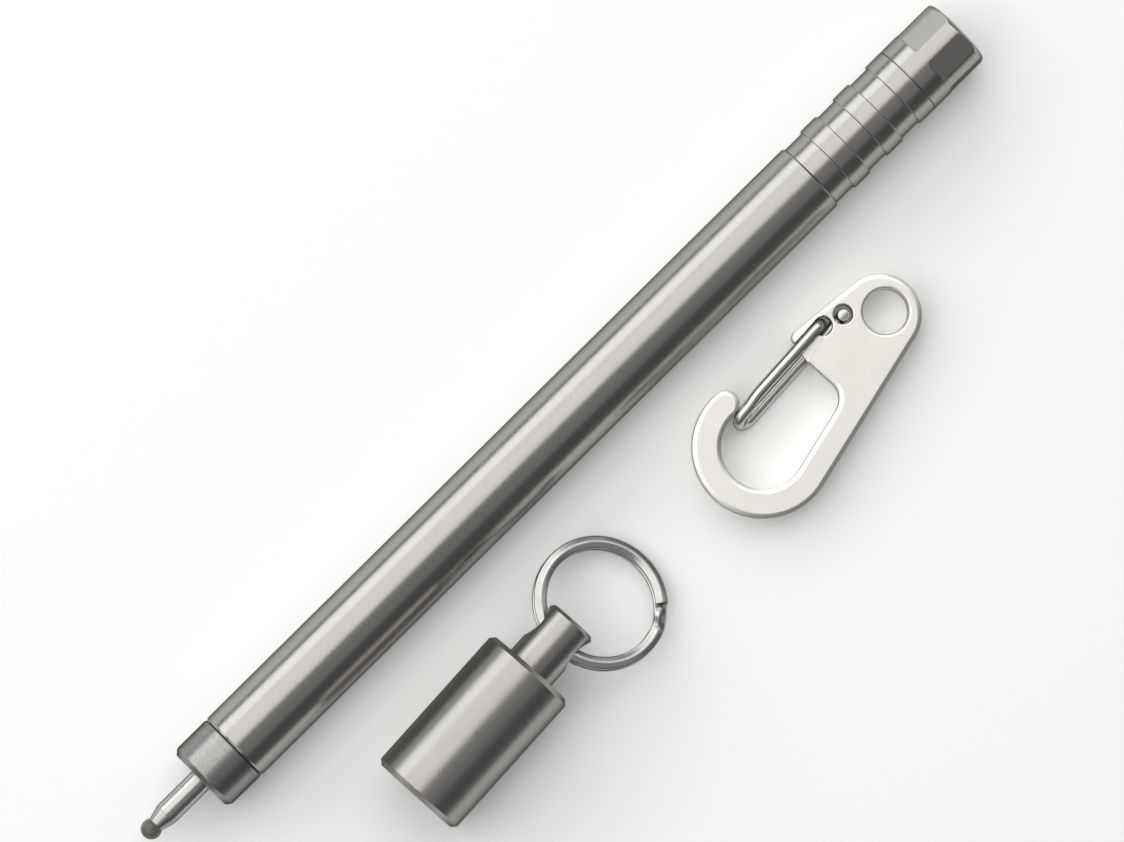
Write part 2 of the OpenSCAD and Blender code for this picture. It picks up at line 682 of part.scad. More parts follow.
module gate_wire() {
    pin_a_low = leg_b_z + gate_r + pin_clear;
    pin_b_top = hook_t - pin_set;
    color("#c4c4c2") hook_place() gate_frame() {
        gate_loop(gate_r);
        gate_leg(gate_r, loop_r, pin_a_x - gate_bend - loop_x);
        gate_leg(gate_r, -loop_r, pin_b_x - gate_bend - loop_x);
        gate_pin(pin_a_x, -1, leg_a_z - gate_bend - pin_a_low);
        gate_pin(pin_b_x, 1, pin_b_top - leg_b_z - gate_bend);
    }
}

barrel();
nose_collar();
collar_o_ring();
refill_sleeve();
sleeve_plug();
refill_tube();
refill_tip();
writing_ball();
tip_bead();
inner_tube();
brake_ring();
slide_bush();
wiper_ring();
rib_grip();
end_cap();
cap_shell();
cap_o_ring();
split_ring();
hook_plate();
gate_wire();
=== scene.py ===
"""Telescopic pen with its key-ring cap and snap hook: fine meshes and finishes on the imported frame."""

import logging
import math
from dataclasses import dataclass
from enum import Enum
from typing import Any, Iterable, Sequence

import bmesh
import bpy
from mathutils import Matrix, Vector


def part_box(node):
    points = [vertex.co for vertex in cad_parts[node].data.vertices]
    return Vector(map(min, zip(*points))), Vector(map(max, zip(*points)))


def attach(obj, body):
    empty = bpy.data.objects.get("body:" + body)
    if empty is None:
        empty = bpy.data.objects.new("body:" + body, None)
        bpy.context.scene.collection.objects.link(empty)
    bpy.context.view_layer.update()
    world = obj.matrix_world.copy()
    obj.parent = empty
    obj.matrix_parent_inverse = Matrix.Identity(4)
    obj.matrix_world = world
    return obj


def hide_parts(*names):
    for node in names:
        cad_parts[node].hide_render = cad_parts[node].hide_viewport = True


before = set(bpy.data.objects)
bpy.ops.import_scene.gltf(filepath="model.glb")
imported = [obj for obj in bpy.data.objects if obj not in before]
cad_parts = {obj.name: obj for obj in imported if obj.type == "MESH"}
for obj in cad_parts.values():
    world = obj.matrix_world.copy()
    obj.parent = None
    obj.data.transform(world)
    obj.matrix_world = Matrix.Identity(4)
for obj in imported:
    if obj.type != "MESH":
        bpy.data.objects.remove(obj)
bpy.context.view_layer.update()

# Sizes are in millimetres unless a name says otherwise; MM turns them into the frame's metres.
MM = 0.001
MERGE = 1e-5
SLIVER_M = 2e-7
SMOOTH_ANGLE = math.radians(32)
HALF_TURN = math.pi
QUARTER_TURN = math.pi / 2
# A rounding takes at most this share of a side, and its flats are held flat by points this far off.
EASE_SHARE = 0.49
SUPPORT = 0.05
# The gap between pressed pieces, how far cutters reach out, and the facets round large and slim pieces.
PRESS_GAP = 0.01
OVERSHOOT = 1.0
FINE_ROUND = 192
SLIM_ROUND = 96
LOG = logging.getLogger("telescopic_pen")

Triple = tuple[float, float, float]
Colour = Triple
Corner = Triple
Point = tuple[float, float]
Socket = bpy.types.NodeSocket


class Body(str, Enum):
    """The moving bodies that the pieces ride on."""

    PEN = "pen"
    TAIL = "tail"
    REFILL = "refill"
    NOSE = "nose"
    CAP = "cap"
    RING = "ring"
    HOOK = "hook"
    GATE = "gate"


class Slot(str, Enum):
    """The record's material slots that the pieces use."""

    TURNED = "turned_titanium"
    SATIN = "satin_titanium"
    STEEL = "polished_steel"
    TIP = "tip_nickel"
    BEAD = "bead_wax"
    BUSH = "bush_brass"
    RUBBER = "black_rubber"
    HOOK = "hook_nickel"


class Signal:
    """A number on its way through a material: arithmetic on it adds Math nodes."""

    def __init__(self, recipe: "Recipe", socket: Socket) -> None:
        """Wraps one output socket of a recipe's tree."""
        self.recipe = recipe
        self.socket = socket

    def maths(self, operation: str, *values: Any) -> "Signal":
        """Adds one Math node with these signals or numbers as its inputs."""
        inputs = dict(enumerate(values))
        return Signal(self.recipe, self.recipe.node("ShaderNodeMath", {"operation": operation}, inputs))

    def __add__(self, other: Any) -> "Signal":
        """Sum."""
        return self.maths("ADD", self, other)

    def __sub__(self, other: Any) -> "Signal":
        """Difference."""
        return self.maths("SUBTRACT", self, other)

    def __rsub__(self, other: Any) -> "Signal":
        """Difference from a number."""
        return self.maths("SUBTRACT", other, self)

    def __mul__(self, other: Any) -> "Signal":
        """Product."""
        return self.maths("MULTIPLY", self, other)

    __radd__ = __add__
    __rmul__ = __mul__

    def swing(self, amount: float) -> "Signal":
        """The signal measured from its middle of 0.5, times an amount."""
        return (self - 0.5) * amount

    def step_over(self, low: float, high: float) -> "Signal":
        """Rises smoothly from 0 at low to 1 at high."""
        kind, ends = {"interpolation_type": "SMOOTHSTEP"}, {"Value": self, "From Min": low, "From Max": high}
        return Signal(self.recipe, self.recipe.node("ShaderNodeMapRange", kind, ends))


class Recipe:
    """One material's node tree, with a Principled shader at its end."""

    def __init__(self, name: str) -> None:
        """Starts a material that has only its shader.

        Args:
            name: the material's name.
        """
        self.material = bpy.data.materials.new(name)
        self.material.use_nodes = True
        self.tree = self.material.node_tree
        self.tree.nodes.clear()
        self.shader = self.tree.nodes.new("ShaderNodeBsdfPrincipled")
        output = self.tree.nodes.new("ShaderNodeOutputMaterial")
        self.tree.links.new(self.shader.outputs[0], output.inputs["Surface"])
        self.place = self.node("ShaderNodeTexCoord", {}, {}, "Object")

    def plug(self, socket: Socket, value: Any) -> None:
        """Gives an input its value.

        Args:
            socket: the input.
            value: a signal or socket to link, or a constant to set.
        """
        value = value.socket if isinstance(value, Signal) else value
        if isinstance(value, Socket):
            self.tree.links.new(value, socket)
        else:
            socket.default_value = value

    def node(self, kind: str, settings: dict[str, Any], inputs: dict[Any, Any], output: Any = 0) -> Socket:
        """Adds a node.

        Args:
            kind: the node's type.
            settings: its own settings, set before its sockets.
            inputs: values, sockets or signals, by socket name or number.
            output: which output to return.

        Returns:
            The output socket.
        """
        made = self.tree.nodes.new(kind)
        for key, value in settings.items():
            setattr(made, key, value)
        for key, value in inputs.items():
            self.plug(made.inputs[key], value)
        return made.outputs[output]

    def feed(self, **values: Any) -> None:
        """Sets or links the shader's inputs; underscores stand for spaces."""
        for key, value in values.items():
            self.plug(self.shader.inputs[key.replace("_", " ").title().replace("Ior", "IOR")], value)

    def turned_place(self, turn: float) -> Socket:
        """Object coordinates in millimetres, turned so that X runs along a piece that lies at that angle."""
        inputs = {"Vector": self.place, "Rotation": (0, 0, -turn), "Scale": (1 / MM,) * 3}
        return self.node("ShaderNodeMapping", {}, inputs)

    def stretched(self, place: Socket, rates: Sequence[float]) -> Socket:
        """A place scaled by its own rate along each axis."""
        return self.node("ShaderNodeMapping", {}, {"Vector": place, "Scale": rates})

    def noise(self, place: Socket, rate: float, detail: float = 2.0, rough: float = 0.6) -> Signal:
        """Cloudy noise of about 0 to 1 with so many lumps a millimetre."""
        inputs = {"Vector": place, "Scale": rate, "Detail": detail, "Roughness": rough}
        return Signal(self, self.node("ShaderNodeTexNoise", {}, inputs))

    def rings(self, place: Socket, rate: float, detail: float = 3.0) -> Signal:
        """Noise that changes only along X, as a lathe tool leaves it.

        Args:
            place: where on the piece.
            rate: rings a millimetre.
            detail: octaves of finer rings.

        Returns:
            Noise of about 0 to 1.
        """
        along = self.node("ShaderNodeSeparateXYZ", {}, {0: place}, "X")
        inputs = {"W": along, "Scale": rate, "Detail": detail, "Roughness": 0.65}
        return Signal(self, self.node("ShaderNodeTexNoise", {"noise_dimensions": "1D"}, inputs))

    def blend(self, factor: Any, first: Any, second: Any) -> Socket:
        """Mixes two colours."""
        # The node's colour sockets share their names, so they are picked by number.
        return self.node("ShaderNodeMix", {"data_type": "RGBA"}, {0: factor, 6: first, 7: second}, 2)

    def bump(self, height: Signal, depth: float) -> Socket:
        """Turns a height of 0 to 1 into a normal, for a relief of that depth in millimetres."""
        return self.node("ShaderNodeBump", {}, {"Height": height, "Distance": depth * MM})


def rgba(colour: Sequence[float]) -> tuple[float, float, float, float]:
    """A colour with full alpha."""
    return (colour[0], colour[1], colour[2], 1.0)


def grey(tone: float) -> tuple[float, float, float, float]:
    """A grey with full alpha."""
    return (tone, tone, tone, 1.0)


@dataclass(frozen=True)
class Finish:
    """A surface with two tones and a roughness about which it varies."""

    name: str
    colour: Colour
    dark: Colour
    rough: float

    def make(self, turn: float) -> bpy.types.Material:
        """Builds the material for a piece.

        Args:
            turn: the angle at which the piece's axis lies.

        Returns:
            The new material.
        """
        r = Recipe(self.name)
        self.paint(r, r.turned_place(turn))
        return r.material

    def tones(self, r: Recipe, darkness: Signal) -> Socket:
        """The colour between the finish's two tones."""
        return r.blend(darkness, rgba(self.colour), rgba(self.dark))

    def paint(self, r: Recipe, place: Socket) -> None:
        """Feeds the finish to the shader; every kind of finish has its own way."""
        raise NotImplementedError


@dataclass(frozen=True)
class TurnedMetal(Finish):
    """Bare metal from the lathe: fine rings round the axis, a few faint bands and handling marks."""

    # Edge tint of the reflections: at this dark grey it dims the grazing flanks, painted shade rather than a
    # property of the metal.
    rim: float = 0.2
    ring_rate: float = 7.0
    ring_depth: float = 0.0012
    ring_tone: float = 0.16
    ring_rough: float = 0.10
    band_share: float = 0.13
    band_tone: float = 0.22
    band_depth: float = 0.5
    cloud_rate: float = 0.35
    cloud_tone: float = 0.25
    cloud_rough: float = 0.06
    scuff_way: Triple = (3.0, 0.4, 0.4)
    scuff_rate: float = 4.0
    scuff_rough: float = 0.14
    grain: float = 7.0
    sparkle: float = 0.5
    base_tone: float = 0.3
    specks: float = 0.0
    speck_rate: float = 0.55
    speck_edge: tuple[float, float] = (0.035, 0.07)
    patch_rate: float = 0.8
    patch_edge: tuple[float, float] = (0.56, 0.62)
    speck_tone: float = 0.05

    def paint(self, r: Recipe, place: Socket) -> None:
        """Feeds rings, bands, clouds, scuffs and grain to the shader, with a dark edge tint that dims the
        grazing flanks as painted shade.

        Args:
            r: the material's recipe.
            place: where on the piece, with X along its axis.
        """
        fine = r.rings(place, self.ring_rate)
        band = r.rings(place, self.ring_rate * self.band_share, detail=2.0)
        cloud = r.noise(place, self.cloud_rate, detail=3.0)
        scuff = r.noise(r.stretched(place, self.scuff_way), self.scuff_rate, detail=4.0, rough=0.7)
        grain = r.noise(place, self.grain)
        tone = fine.swing(self.ring_tone) + band.swing(self.band_tone) + cloud.swing(self.cloud_tone)
        colour = self.tones(r, (tone + grain.swing(self.sparkle) + self.base_tone).step_over(0.0, 1.0))
        if self.specks:
            inputs = {"Vector": place, "Scale": self.speck_rate}
            cells = Signal(r, r.node("ShaderNodeTexVoronoi", {}, inputs, "Distance"))
            dots = 1 - cells.step_over(*self.speck_edge)
            patches = r.noise(place, self.patch_rate, detail=0.0, rough=0.5).step_over(*self.patch_edge)
            colour = r.blend(dots * patches * self.specks, colour, grey(self.speck_tone))
        rough = fine.swing(self.ring_rough) + scuff.swing(self.scuff_rough) + cloud.swing(self.cloud_rough)
        height = fine + band * self.band_depth + grain * self.sparkle
        # The dark grey specular tint darkens the grazing flanks: painted shade.
        r.feed(base_color=colour, metallic=1.0, roughness=rough + self.rough,
               normal=r.bump(height, self.ring_depth), specular_tint=grey(self.rim))


@dataclass(frozen=True)
class SmoothMetal(Finish):
    """Drawn, polished or plated metal: soft clouds of tone, with fine marks in every direction."""

    grain: float = 3.0
    grain_depth: float = 0.0006
    grain_tone: float = 0.5
    grain_rough: float = 0.12
    cloud_rate: float = 0.45
    cloud_tone: float = 0.9
    cloud_rough: float = 0.08
    base_tone: float = 0.35
    # Edge tint of the reflections: at this dark grey it dims the grazing flanks, painted shade rather than a
    # property of the metal.
    rim: float = 0.2

    def paint(self, r: Recipe, place: Socket) -> None:
        """Feeds clouds and grain to the shader, with a dark edge tint that dims the grazing flanks as painted
        shade.

        Args:
            r: the material's recipe.
            place: where on the piece.
        """
        cloud = r.noise(place, self.cloud_rate, detail=3.0)
        grain = r.noise(place, self.grain, detail=4.0, rough=0.65)
        tone = cloud.swing(self.cloud_tone) + grain.swing(self.grain_tone) + self.base_tone
        rough = grain.swing(self.grain_rough) + cloud.swing(self.cloud_rough) + self.rough
        # The dark grey specular tint darkens the grazing flanks: painted shade.
        r.feed(base_color=self.tones(r, tone.step_over(0.0, 1.0)), metallic=1.0, roughness=rough,
               normal=r.bump(grain, self.grain_depth), specular_tint=grey(self.rim))


@dataclass(frozen=True)
class MattePolymer(Finish):
    """Rubber, acetal or wax: a soft sheen over a faintly mottled colour."""

    lumps: float = 4.0
    lump_depth: float = 0.004
    lump_rough: float = 0.2
    cloud_share: float = 0.3
    cloud_edge: tuple[float, float] = (0.3, 0.7)

    def paint(self, r: Recipe, place: Socket) -> None:
        """Feeds clouds and lumps to the shader.

        Args:
            r: the material's recipe.
            place: where on the piece.
        """
        cloud = r.noise(place, self.lumps * self.cloud_share, detail=3.0)
        grain = r.noise(place, self.lumps, detail=4.0)
        r.feed(base_color=self.tones(r, cloud.step_over(*self.cloud_edge)),
               roughness=grain.swing(self.lump_rough) + self.rough, normal=r.bump(grain, self.lump_depth))


# A low rim value darkens a piece's grazing flanks further: painted shade.
TURNED = TurnedMetal("turned_titanium", (0.415, 0.405, 0.385), (0.36, 0.35, 0.333), 0.25, ring_depth=0.002)
COLLAR = TurnedMetal("collar_titanium", (0.345, 0.34, 0.33), (0.25, 0.247, 0.24), 0.33, rim=0.08,
                     ring_depth=0.001, ring_tone=0.1, grain=5.0, sparkle=2.2)
SATIN = TurnedMetal("satin_titanium", (0.40, 0.388, 0.37), (0.33, 0.32, 0.306), 0.30, ring_rate=5.0,
                    specks=0.8)
TUBE_TITANIUM = TurnedMetal("drawn_titanium", (0.50, 0.485, 0.46), (0.43, 0.415, 0.39), 0.14, ring_rate=9.0)
BRASS = TurnedMetal("turned_brass", (0.78, 0.60, 0.30), (0.62, 0.46, 0.21), 0.22)
TIP_NICKEL = TurnedMetal("turned_nickel", (0.46, 0.45, 0.43), (0.36, 0.35, 0.335), 0.30, ring_rate=12.0)
ALUMINIUM = SmoothMetal("drawn_aluminium", (0.82, 0.82, 0.83), (0.70, 0.70, 0.71), 0.30)
STEEL = SmoothMetal("polished_steel", (0.53, 0.53, 0.52), (0.43, 0.43, 0.42), 0.20, rim=0.05)
REFILL_STEEL = SmoothMetal("drawn_steel", (0.52, 0.52, 0.51), (0.44, 0.44, 0.43), 0.27, rim=0.05)
SPRING_STEEL = SmoothMetal("spring_steel", (0.66, 0.655, 0.63), (0.54, 0.535, 0.52), 0.24)
HOOK_NICKEL = SmoothMetal("satin_nickel", (0.93, 0.92, 0.87), (0.85, 0.84, 0.79), 0.38, grain=5.0,
                          grain_depth=0.002)
BEAD_WAX = MattePolymer("bead_wax", (0.175, 0.17, 0.143), (0.085, 0.083, 0.067), 0.36)
RUBBER = MattePolymer("moulded_rubber", (0.022, 0.022, 0.022), (0.035, 0.035, 0.035), 0.62)
ACETAL = MattePolymer("natural_acetal", (0.80, 0.78, 0.71), (0.74, 0.72, 0.65), 0.42)

_made: dict[tuple[str, float], bpy.types.Material] = {}


def finish_of(finish: Finish, turn: float = 0.0) -> bpy.types.Material:
    """The material of a finish, made once for each turn.

    Args:
        finish: one of the finishes above.
        turn: the angle at which the piece's axis lies.

    Returns:
        The material.
    """
    key = (finish.name, round(turn, 4))
    if key not in _made:
        _made[key] = finish.make(turn)
    return _made[key]


def coat_node(node: str, finish: Finish) -> None:
    """Gives a carried-over CAD node its finish.

    Args:
        node: the CAD node's name.
        finish: one of the finishes above.
    """
    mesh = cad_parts[node].data
    mesh.materials.clear()
    mesh.materials.append(finish_of(finish))


def dress(piece: bpy.types.Object, finish: Finish, slot: Slot, body: Body, *nodes: str,
          turn: float = 0.0) -> None:
    """Gives a piece its finish and its place in the product.

    Args:
        piece: the new mesh.
        finish: one of the finishes above.
        slot: the record's slot of that finish; not used.
        body: what it moves with.
        nodes: the CAD nodes that it stands for.
        turn: the angle at which its axis lies.
    """
    piece.data.materials.clear()
    piece.data.materials.append(finish_of(finish, turn))
    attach(piece, body.value)
    if nodes:
        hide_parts(*nodes)
    LOG.info("%s: %d faces on %s", piece.name, len(piece.data.polygons), body.value)


def finish_mesh(bm: bmesh.types.BMesh, name: str, place: Matrix) -> bpy.types.Object:
    """Closes a piece's modelling.

    Args:
        bm: the piece in its own millimetres; it is freed.
        name: the piece's name.
        place: its own frame, in metres, in the row's frame.

    Returns:
        The object at the origin, with its place in its mesh.
    """
    bmesh.ops.remove_doubles(bm, verts=bm.verts, dist=MERGE)
    bmesh.ops.recalc_face_normals(bm, faces=bm.faces)
    mesh = bpy.data.meshes.new(name)
    bm.to_mesh(mesh)
    bm.free()
    mesh.transform(place @ Matrix.Scale(MM, 4))
    mesh.shade_smooth()
    mesh.set_sharp_from_angle(angle=SMOOTH_ANGLE)
    piece = bpy.data.objects.new(name, mesh)
    bpy.context.scene.collection.objects.link(piece)
    return piece


def tidy_mesh(mesh: bpy.types.Mesh) -> None:
    """Splits a mesh's many-cornered faces and merges its slivers, so that the next cut is clean.

    Args:
        mesh: what is tidied, in metres.
    """
    bm = bmesh.new()
    bm.from_mesh(mesh)
    bmesh.ops.triangulate(bm, faces=[f for f in bm.faces if len(f.verts) > 4])
    bmesh.ops.remove_doubles(bm, verts=bm.verts, dist=SLIVER_M)
    bmesh.ops.dissolve_degenerate(bm, edges=bm.edges, dist=SLIVER_M)
    bm.to_mesh(mesh)
    bm.free()


def reorder(mesh: bpy.types.Mesh) -> None:
    """Sorts a cut mesh's points and faces, which the cut leaves in another order on each run.

    Args:
        mesh: what the cut left.
    """
    order = sorted(range(len(mesh.vertices)), key=lambda i: mesh.vertices[i].co[:])
    points = [mesh.vertices[i].co[:] for i in order]
    rank = {old: new for new, old in enumerate(order)}
    faces = []
    for face in mesh.polygons:
        ring = [rank[i] for i in face.vertices]
        first = ring.index(min(ring))
        faces.append(ring[first:] + ring[:first])
    mesh.clear_geometry()
    mesh.from_pydata(points, [], sorted(faces))


def carve(piece: bpy.types.Object, cutters: Iterable[bpy.types.Object]) -> None:
    """Cuts solids out of a piece and removes them.

    Args:
        piece: what is cut.
        cutters: closed solids in the same frame.
    """
    tidy_mesh(piece.data)
    for cutter in cutters:
        cut = piece.modifiers.new("cut", "BOOLEAN")
        cut.operation = "DIFFERENCE"
        cut.solver = "EXACT"
        cut.object = cutter
        bpy.context.view_layer.update()
        result = bpy.data.meshes.new_from_object(piece.evaluated_get(bpy.context.evaluated_depsgraph_get()))
        piece.modifiers.clear()
        old = piece.data
        piece.data = result
        reorder(result)
        tidy_mesh(result)
        bpy.data.meshes.remove(old)
        bpy.data.objects.remove(cutter)
    piece.data.name = piece.name
    piece.data.shade_smooth()
    piece.data.set_sharp_from_angle(angle=SMOOTH_ANGLE)


def eased(corners: Sequence[Corner], closed: bool = True, steps: int = 4) -> list[Point]:
    """Rounds the corners of a section.

    Args:
        corners: (along, radius, easing radius).
        closed: whether the section closes on itself.
        steps: facets in each rounding.

    Returns:
        Points of the eased section.
    """
    points: list[Point] = []
    count = len(corners)
    for i, (x, y, ease) in enumerate(corners):
        here = Vector((x, y))
        if ease <= 0 or (not closed and i in (0, count - 1)):
            points.append((x, y))
            continue
        back = Vector(corners[i - 1][:2]) - here
        ahead = Vector(corners[(i + 1) % count][:2]) - here
        back_way, ahead_way = back.normalized(), ahead.normalized()
        half = back.angle(ahead) / 2
        reach = min(ease / math.tan(half), back.length * EASE_SHARE, ahead.length * EASE_SHARE)
        radius = reach * math.tan(half)
        start, end = here + back_way * reach, here + ahead_way * reach
        centre = here + (back_way + ahead_way).normalized() * (radius / math.sin(half))
        if back.length > 2 * (reach + SUPPORT):
            points.append(tuple(start + back_way * SUPPORT))
        spoke = start - centre
        turn = spoke.angle_signed(end - centre)
        for k in range(steps + 1):
            points.append(tuple(centre + Matrix.Rotation(-turn * k / steps, 2) @ spoke))
        if ahead.length > 2 * (reach + SUPPORT):
            points.append(tuple(end + ahead_way * SUPPORT))
    return points


def spin_section(bm: bmesh.types.BMesh, section: Sequence[Point], closed: bool, around: int) -> None:
    """Spins a section a full turn round X in an empty bmesh.

    Args:
        bm: the empty bmesh.
        section: (along, radius) points.
        closed: whether the section closes on itself.
        around: facets round the axis.
    """
    verts = [bm.verts.new((x, 0, r)) for x, r in section]
    pairs = zip(verts, verts[1:] + verts[:1]) if closed else zip(verts, verts[1:])
    edges = [bm.edges.new(pair) for pair in pairs]
    bmesh.ops.spin(bm, geom=verts + edges, cent=(0, 0, 0), axis=(1, 0, 0), angle=2 * HALF_TURN, steps=around,
                   use_merge=True)
    bmesh.ops.remove_doubles(bm, verts=bm.verts, dist=MERGE)


def cut_across(bm: bmesh.types.BMesh, stations: Iterable[float]) -> None:
    """Gives a turned surface more loops of edges.

    Args:
        bm: the surface, with its axis along X.
        stations: where on the axis a loop is cut.
    """
    for x in stations:
        everything = bm.verts[:] + bm.edges[:] + bm.faces[:]
        bmesh.ops.bisect_plane(bm, geom=everything, plane_co=(x, 0, 0), plane_no=(1, 0, 0))


def turned(name: str, corners: Sequence[Corner], place: Matrix, closed: bool = True, around: int = 128,
           stations: Sequence[float] = (), steps: int = 4) -> bpy.types.Object:
    """A turned piece: an eased section spun round its own X axis.

    Args:
        name: the piece's name.
        corners: (along, radius, easing radius).
        place: its frame in the row's frame.
        closed: whether the section is a closed loop off the axis.
        around: facets round the axis.
        stations: places along the axis that get a loop of edges, for later work.
        steps: facets in each rounding.

    Returns:
        The finished object.
    """
    bm = bmesh.new()
    spin_section(bm, eased(corners, closed, steps), closed, around)
    cut_across(bm, stations)
    return finish_mesh(bm, name, place)


def ring_section(front: float, rear: float, inner: float, outer: float, ease: float) -> list[Corner]:
    """The section of a plain ring, with all its corners eased alike."""
    return [(front, inner, ease), (rear, inner, ease), (rear, outer, ease), (front, outer, ease)]


def prism(bm: bmesh.types.BMesh, face: bmesh.types.BMFace, height: float) -> bmesh.types.BMFace:
    """Makes a level face into a prism.

    Args:
        bm: the mesh that it is in.
        face: the prism's base.
        height: how far above it the other end lies.

    Returns:
        The other end.
    """
    made = bmesh.ops.extrude_face_region(bm, geom=[face])["geom"]
    top = next(g for g in made if isinstance(g, bmesh.types.BMFace))
    bmesh.ops.translate(bm, vec=(0, 0, height), verts=top.verts[:])
    return top


def round_edges(bm: bmesh.types.BMesh, edges: list[bmesh.types.BMEdge], width: float, segments: int) -> None:
    """Rounds these edges over a width on each side."""
    bmesh.ops.bevel(bm, geom=edges, offset=width, segments=segments, profile=0.5, affect="EDGES", material=-1)


def pen_place() -> Matrix:
    """The pen's own frame: the barrel's front face, on its axis."""
    low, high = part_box("barrel")
    return Matrix.Translation((low[0], (low[1] + high[1]) / 2, (low[2] + high[2]) / 2))


@dataclass
class Part:
    """A sub-assembly, laid out from the pen's own frame."""

    pen: Matrix


@dataclass
class Barrel(Part):
    """The outer tube with the guide bush in its rear."""

    length: float = 76.2
    radius: float = 3.7
    edge: float = 0.14
    front_run: float = 0.21
    front_drop: float = 0.10
    bore: float = 3.05
    front_seat: float = 3.24
    front_depth: float = 4.0
    bush_seat: float = 3.3
    bush_length: float = 8.0
    bush_bore: float = 2.625
    bush_mouth: float = 0.12
    bush_set: float = 0.005

    def build(self) -> None:
        """Makes the tube and the bush, and coats the rings inside."""
        end, r, e = self.length, self.radius, self.edge
        step = end - self.bush_length
        tube = turned("barrel_tube", [
            (0, self.front_seat, 0.02), (0, r - self.front_drop, 0.03), (self.front_run, r, 0.05),
            (end - e, r, 0.05), (end, r - e, 0.03), (end, self.bush_seat, 0.02), (step, self.bush_seat, 0),
            (step, self.bore, 0), (self.front_depth, self.bore, 0), (self.front_depth, self.front_seat, 0)],
            self.pen, around=FINE_ROUND)
        dress(tube, TURNED, Slot.TURNED, Body.PEN, "barrel")
        outside, rear = self.bush_seat - PRESS_GAP, end - self.bush_set
        bush = turned("guide_bush", [
            (step, self.bush_bore, 0.03), (step, outside, 0), (rear, outside, 0.03),
            (rear, self.bush_bore, self.bush_mouth)], self.pen)
        dress(bush, BRASS, Slot.BUSH, Body.PEN, "slide_bush")
        coat_node("wiper_ring", RUBBER)
        coat_node("brake_ring", ACETAL)


@dataclass
class Nose(Part):
    """The screwed collar with its seal and the sleeve that holds the refill."""

    front: float = -4.42
    radius: float = 3.67
    bore: float = 1.225
    chamfer: float = 0.42
    chamfer_slope: float = 1.25
    rear: float = -0.02
    seam: float = 0.16
    washer_set: float = 0.11
    spigot: float = 3.22
    spigot_end: float = 3.6
    spigot_taper: float = 0.2
    seal_front: float = 0.3
    seal_width: float = 0.8
    seal_floor: float = 2.72
    seal_side: float = 0.15
    seal_round: float = 0.24
    thread_start: float = 0.3
    thread_stop: float = 0.1
    thread_pitch: float = 0.5
    thread_root: float = 0.45
    thread_depth: float = 0.16
    sleeve: float = 1.625
    sleeve_seat: float = -1.2

    def build(self) -> None:
        """Makes the collar, the washer behind it and its seal, and coats what lies inside."""
        collar = turned("nose_collar_body", self.collar_section(), self.pen, around=FINE_ROUND)
        dress(collar, COLLAR, Slot.TURNED, Body.NOSE, "nose_collar")
        shoulder, rim = self.rear - self.seam, self.radius - self.washer_set
        washer = turned("seam_washer", [
            (shoulder, self.spigot, 0), (shoulder, rim, 0.02), (self.rear, rim, 0.02),
            (self.rear, self.spigot, 0)], self.pen, around=FINE_ROUND)
        dress(washer, RUBBER, Slot.RUBBER, Body.NOSE)
        front = self.seal_front + self.seal_side
        rear = self.seal_front + self.seal_width - self.seal_side
        seal = turned("collar_seal", ring_section(
            front, rear, self.seal_floor + PRESS_GAP, self.spigot + PRESS_GAP, self.seal_round),
            self.pen, steps=6)
        dress(seal, RUBBER, Slot.RUBBER, Body.NOSE, "collar_o_ring")
        coat_node("refill_sleeve", ALUMINIUM)
        coat_node("sleeve_plug", ALUMINIUM)

    def collar_section(self) -> list[Corner]:
        """The collar's section, with the seal's groove and the thread on its spigot.

        Returns:
            Its corners, from the front round the outside.
        """
        f, r, c, shoulder = self.front, self.radius, self.chamfer, self.rear - self.seam
        seal_rear = self.seal_front + self.seal_width
        corners: list[Corner] = [
            (f, self.bore, 0.06), (f, r - c, 0.14), (f + c * self.chamfer_slope, r, 0.45),
            (shoulder, r, 0.04), (shoulder, self.spigot, 0), (self.seal_front, self.spigot, 0.03),
            (self.seal_front, self.seal_floor, 0.05), (seal_rear, self.seal_floor, 0.05),
            (seal_rear, self.spigot, 0.03)]
        x = seal_rear + self.thread_start
        while x + self.thread_pitch < self.spigot_end - self.thread_stop:
            root = x + self.thread_pitch * self.thread_root
            corners += [(x, self.spigot, 0.02), (root, self.spigot - self.thread_depth, 0.03)]
            x += self.thread_pitch
        return corners + [
            (x, self.spigot, 0.02), (self.spigot_end, self.spigot - self.spigot_taper, 0.02),
            (self.spigot_end, self.sleeve, 0), (self.sleeve_seat, self.sleeve, 0),
            (self.sleeve_seat, self.bore, 0)]


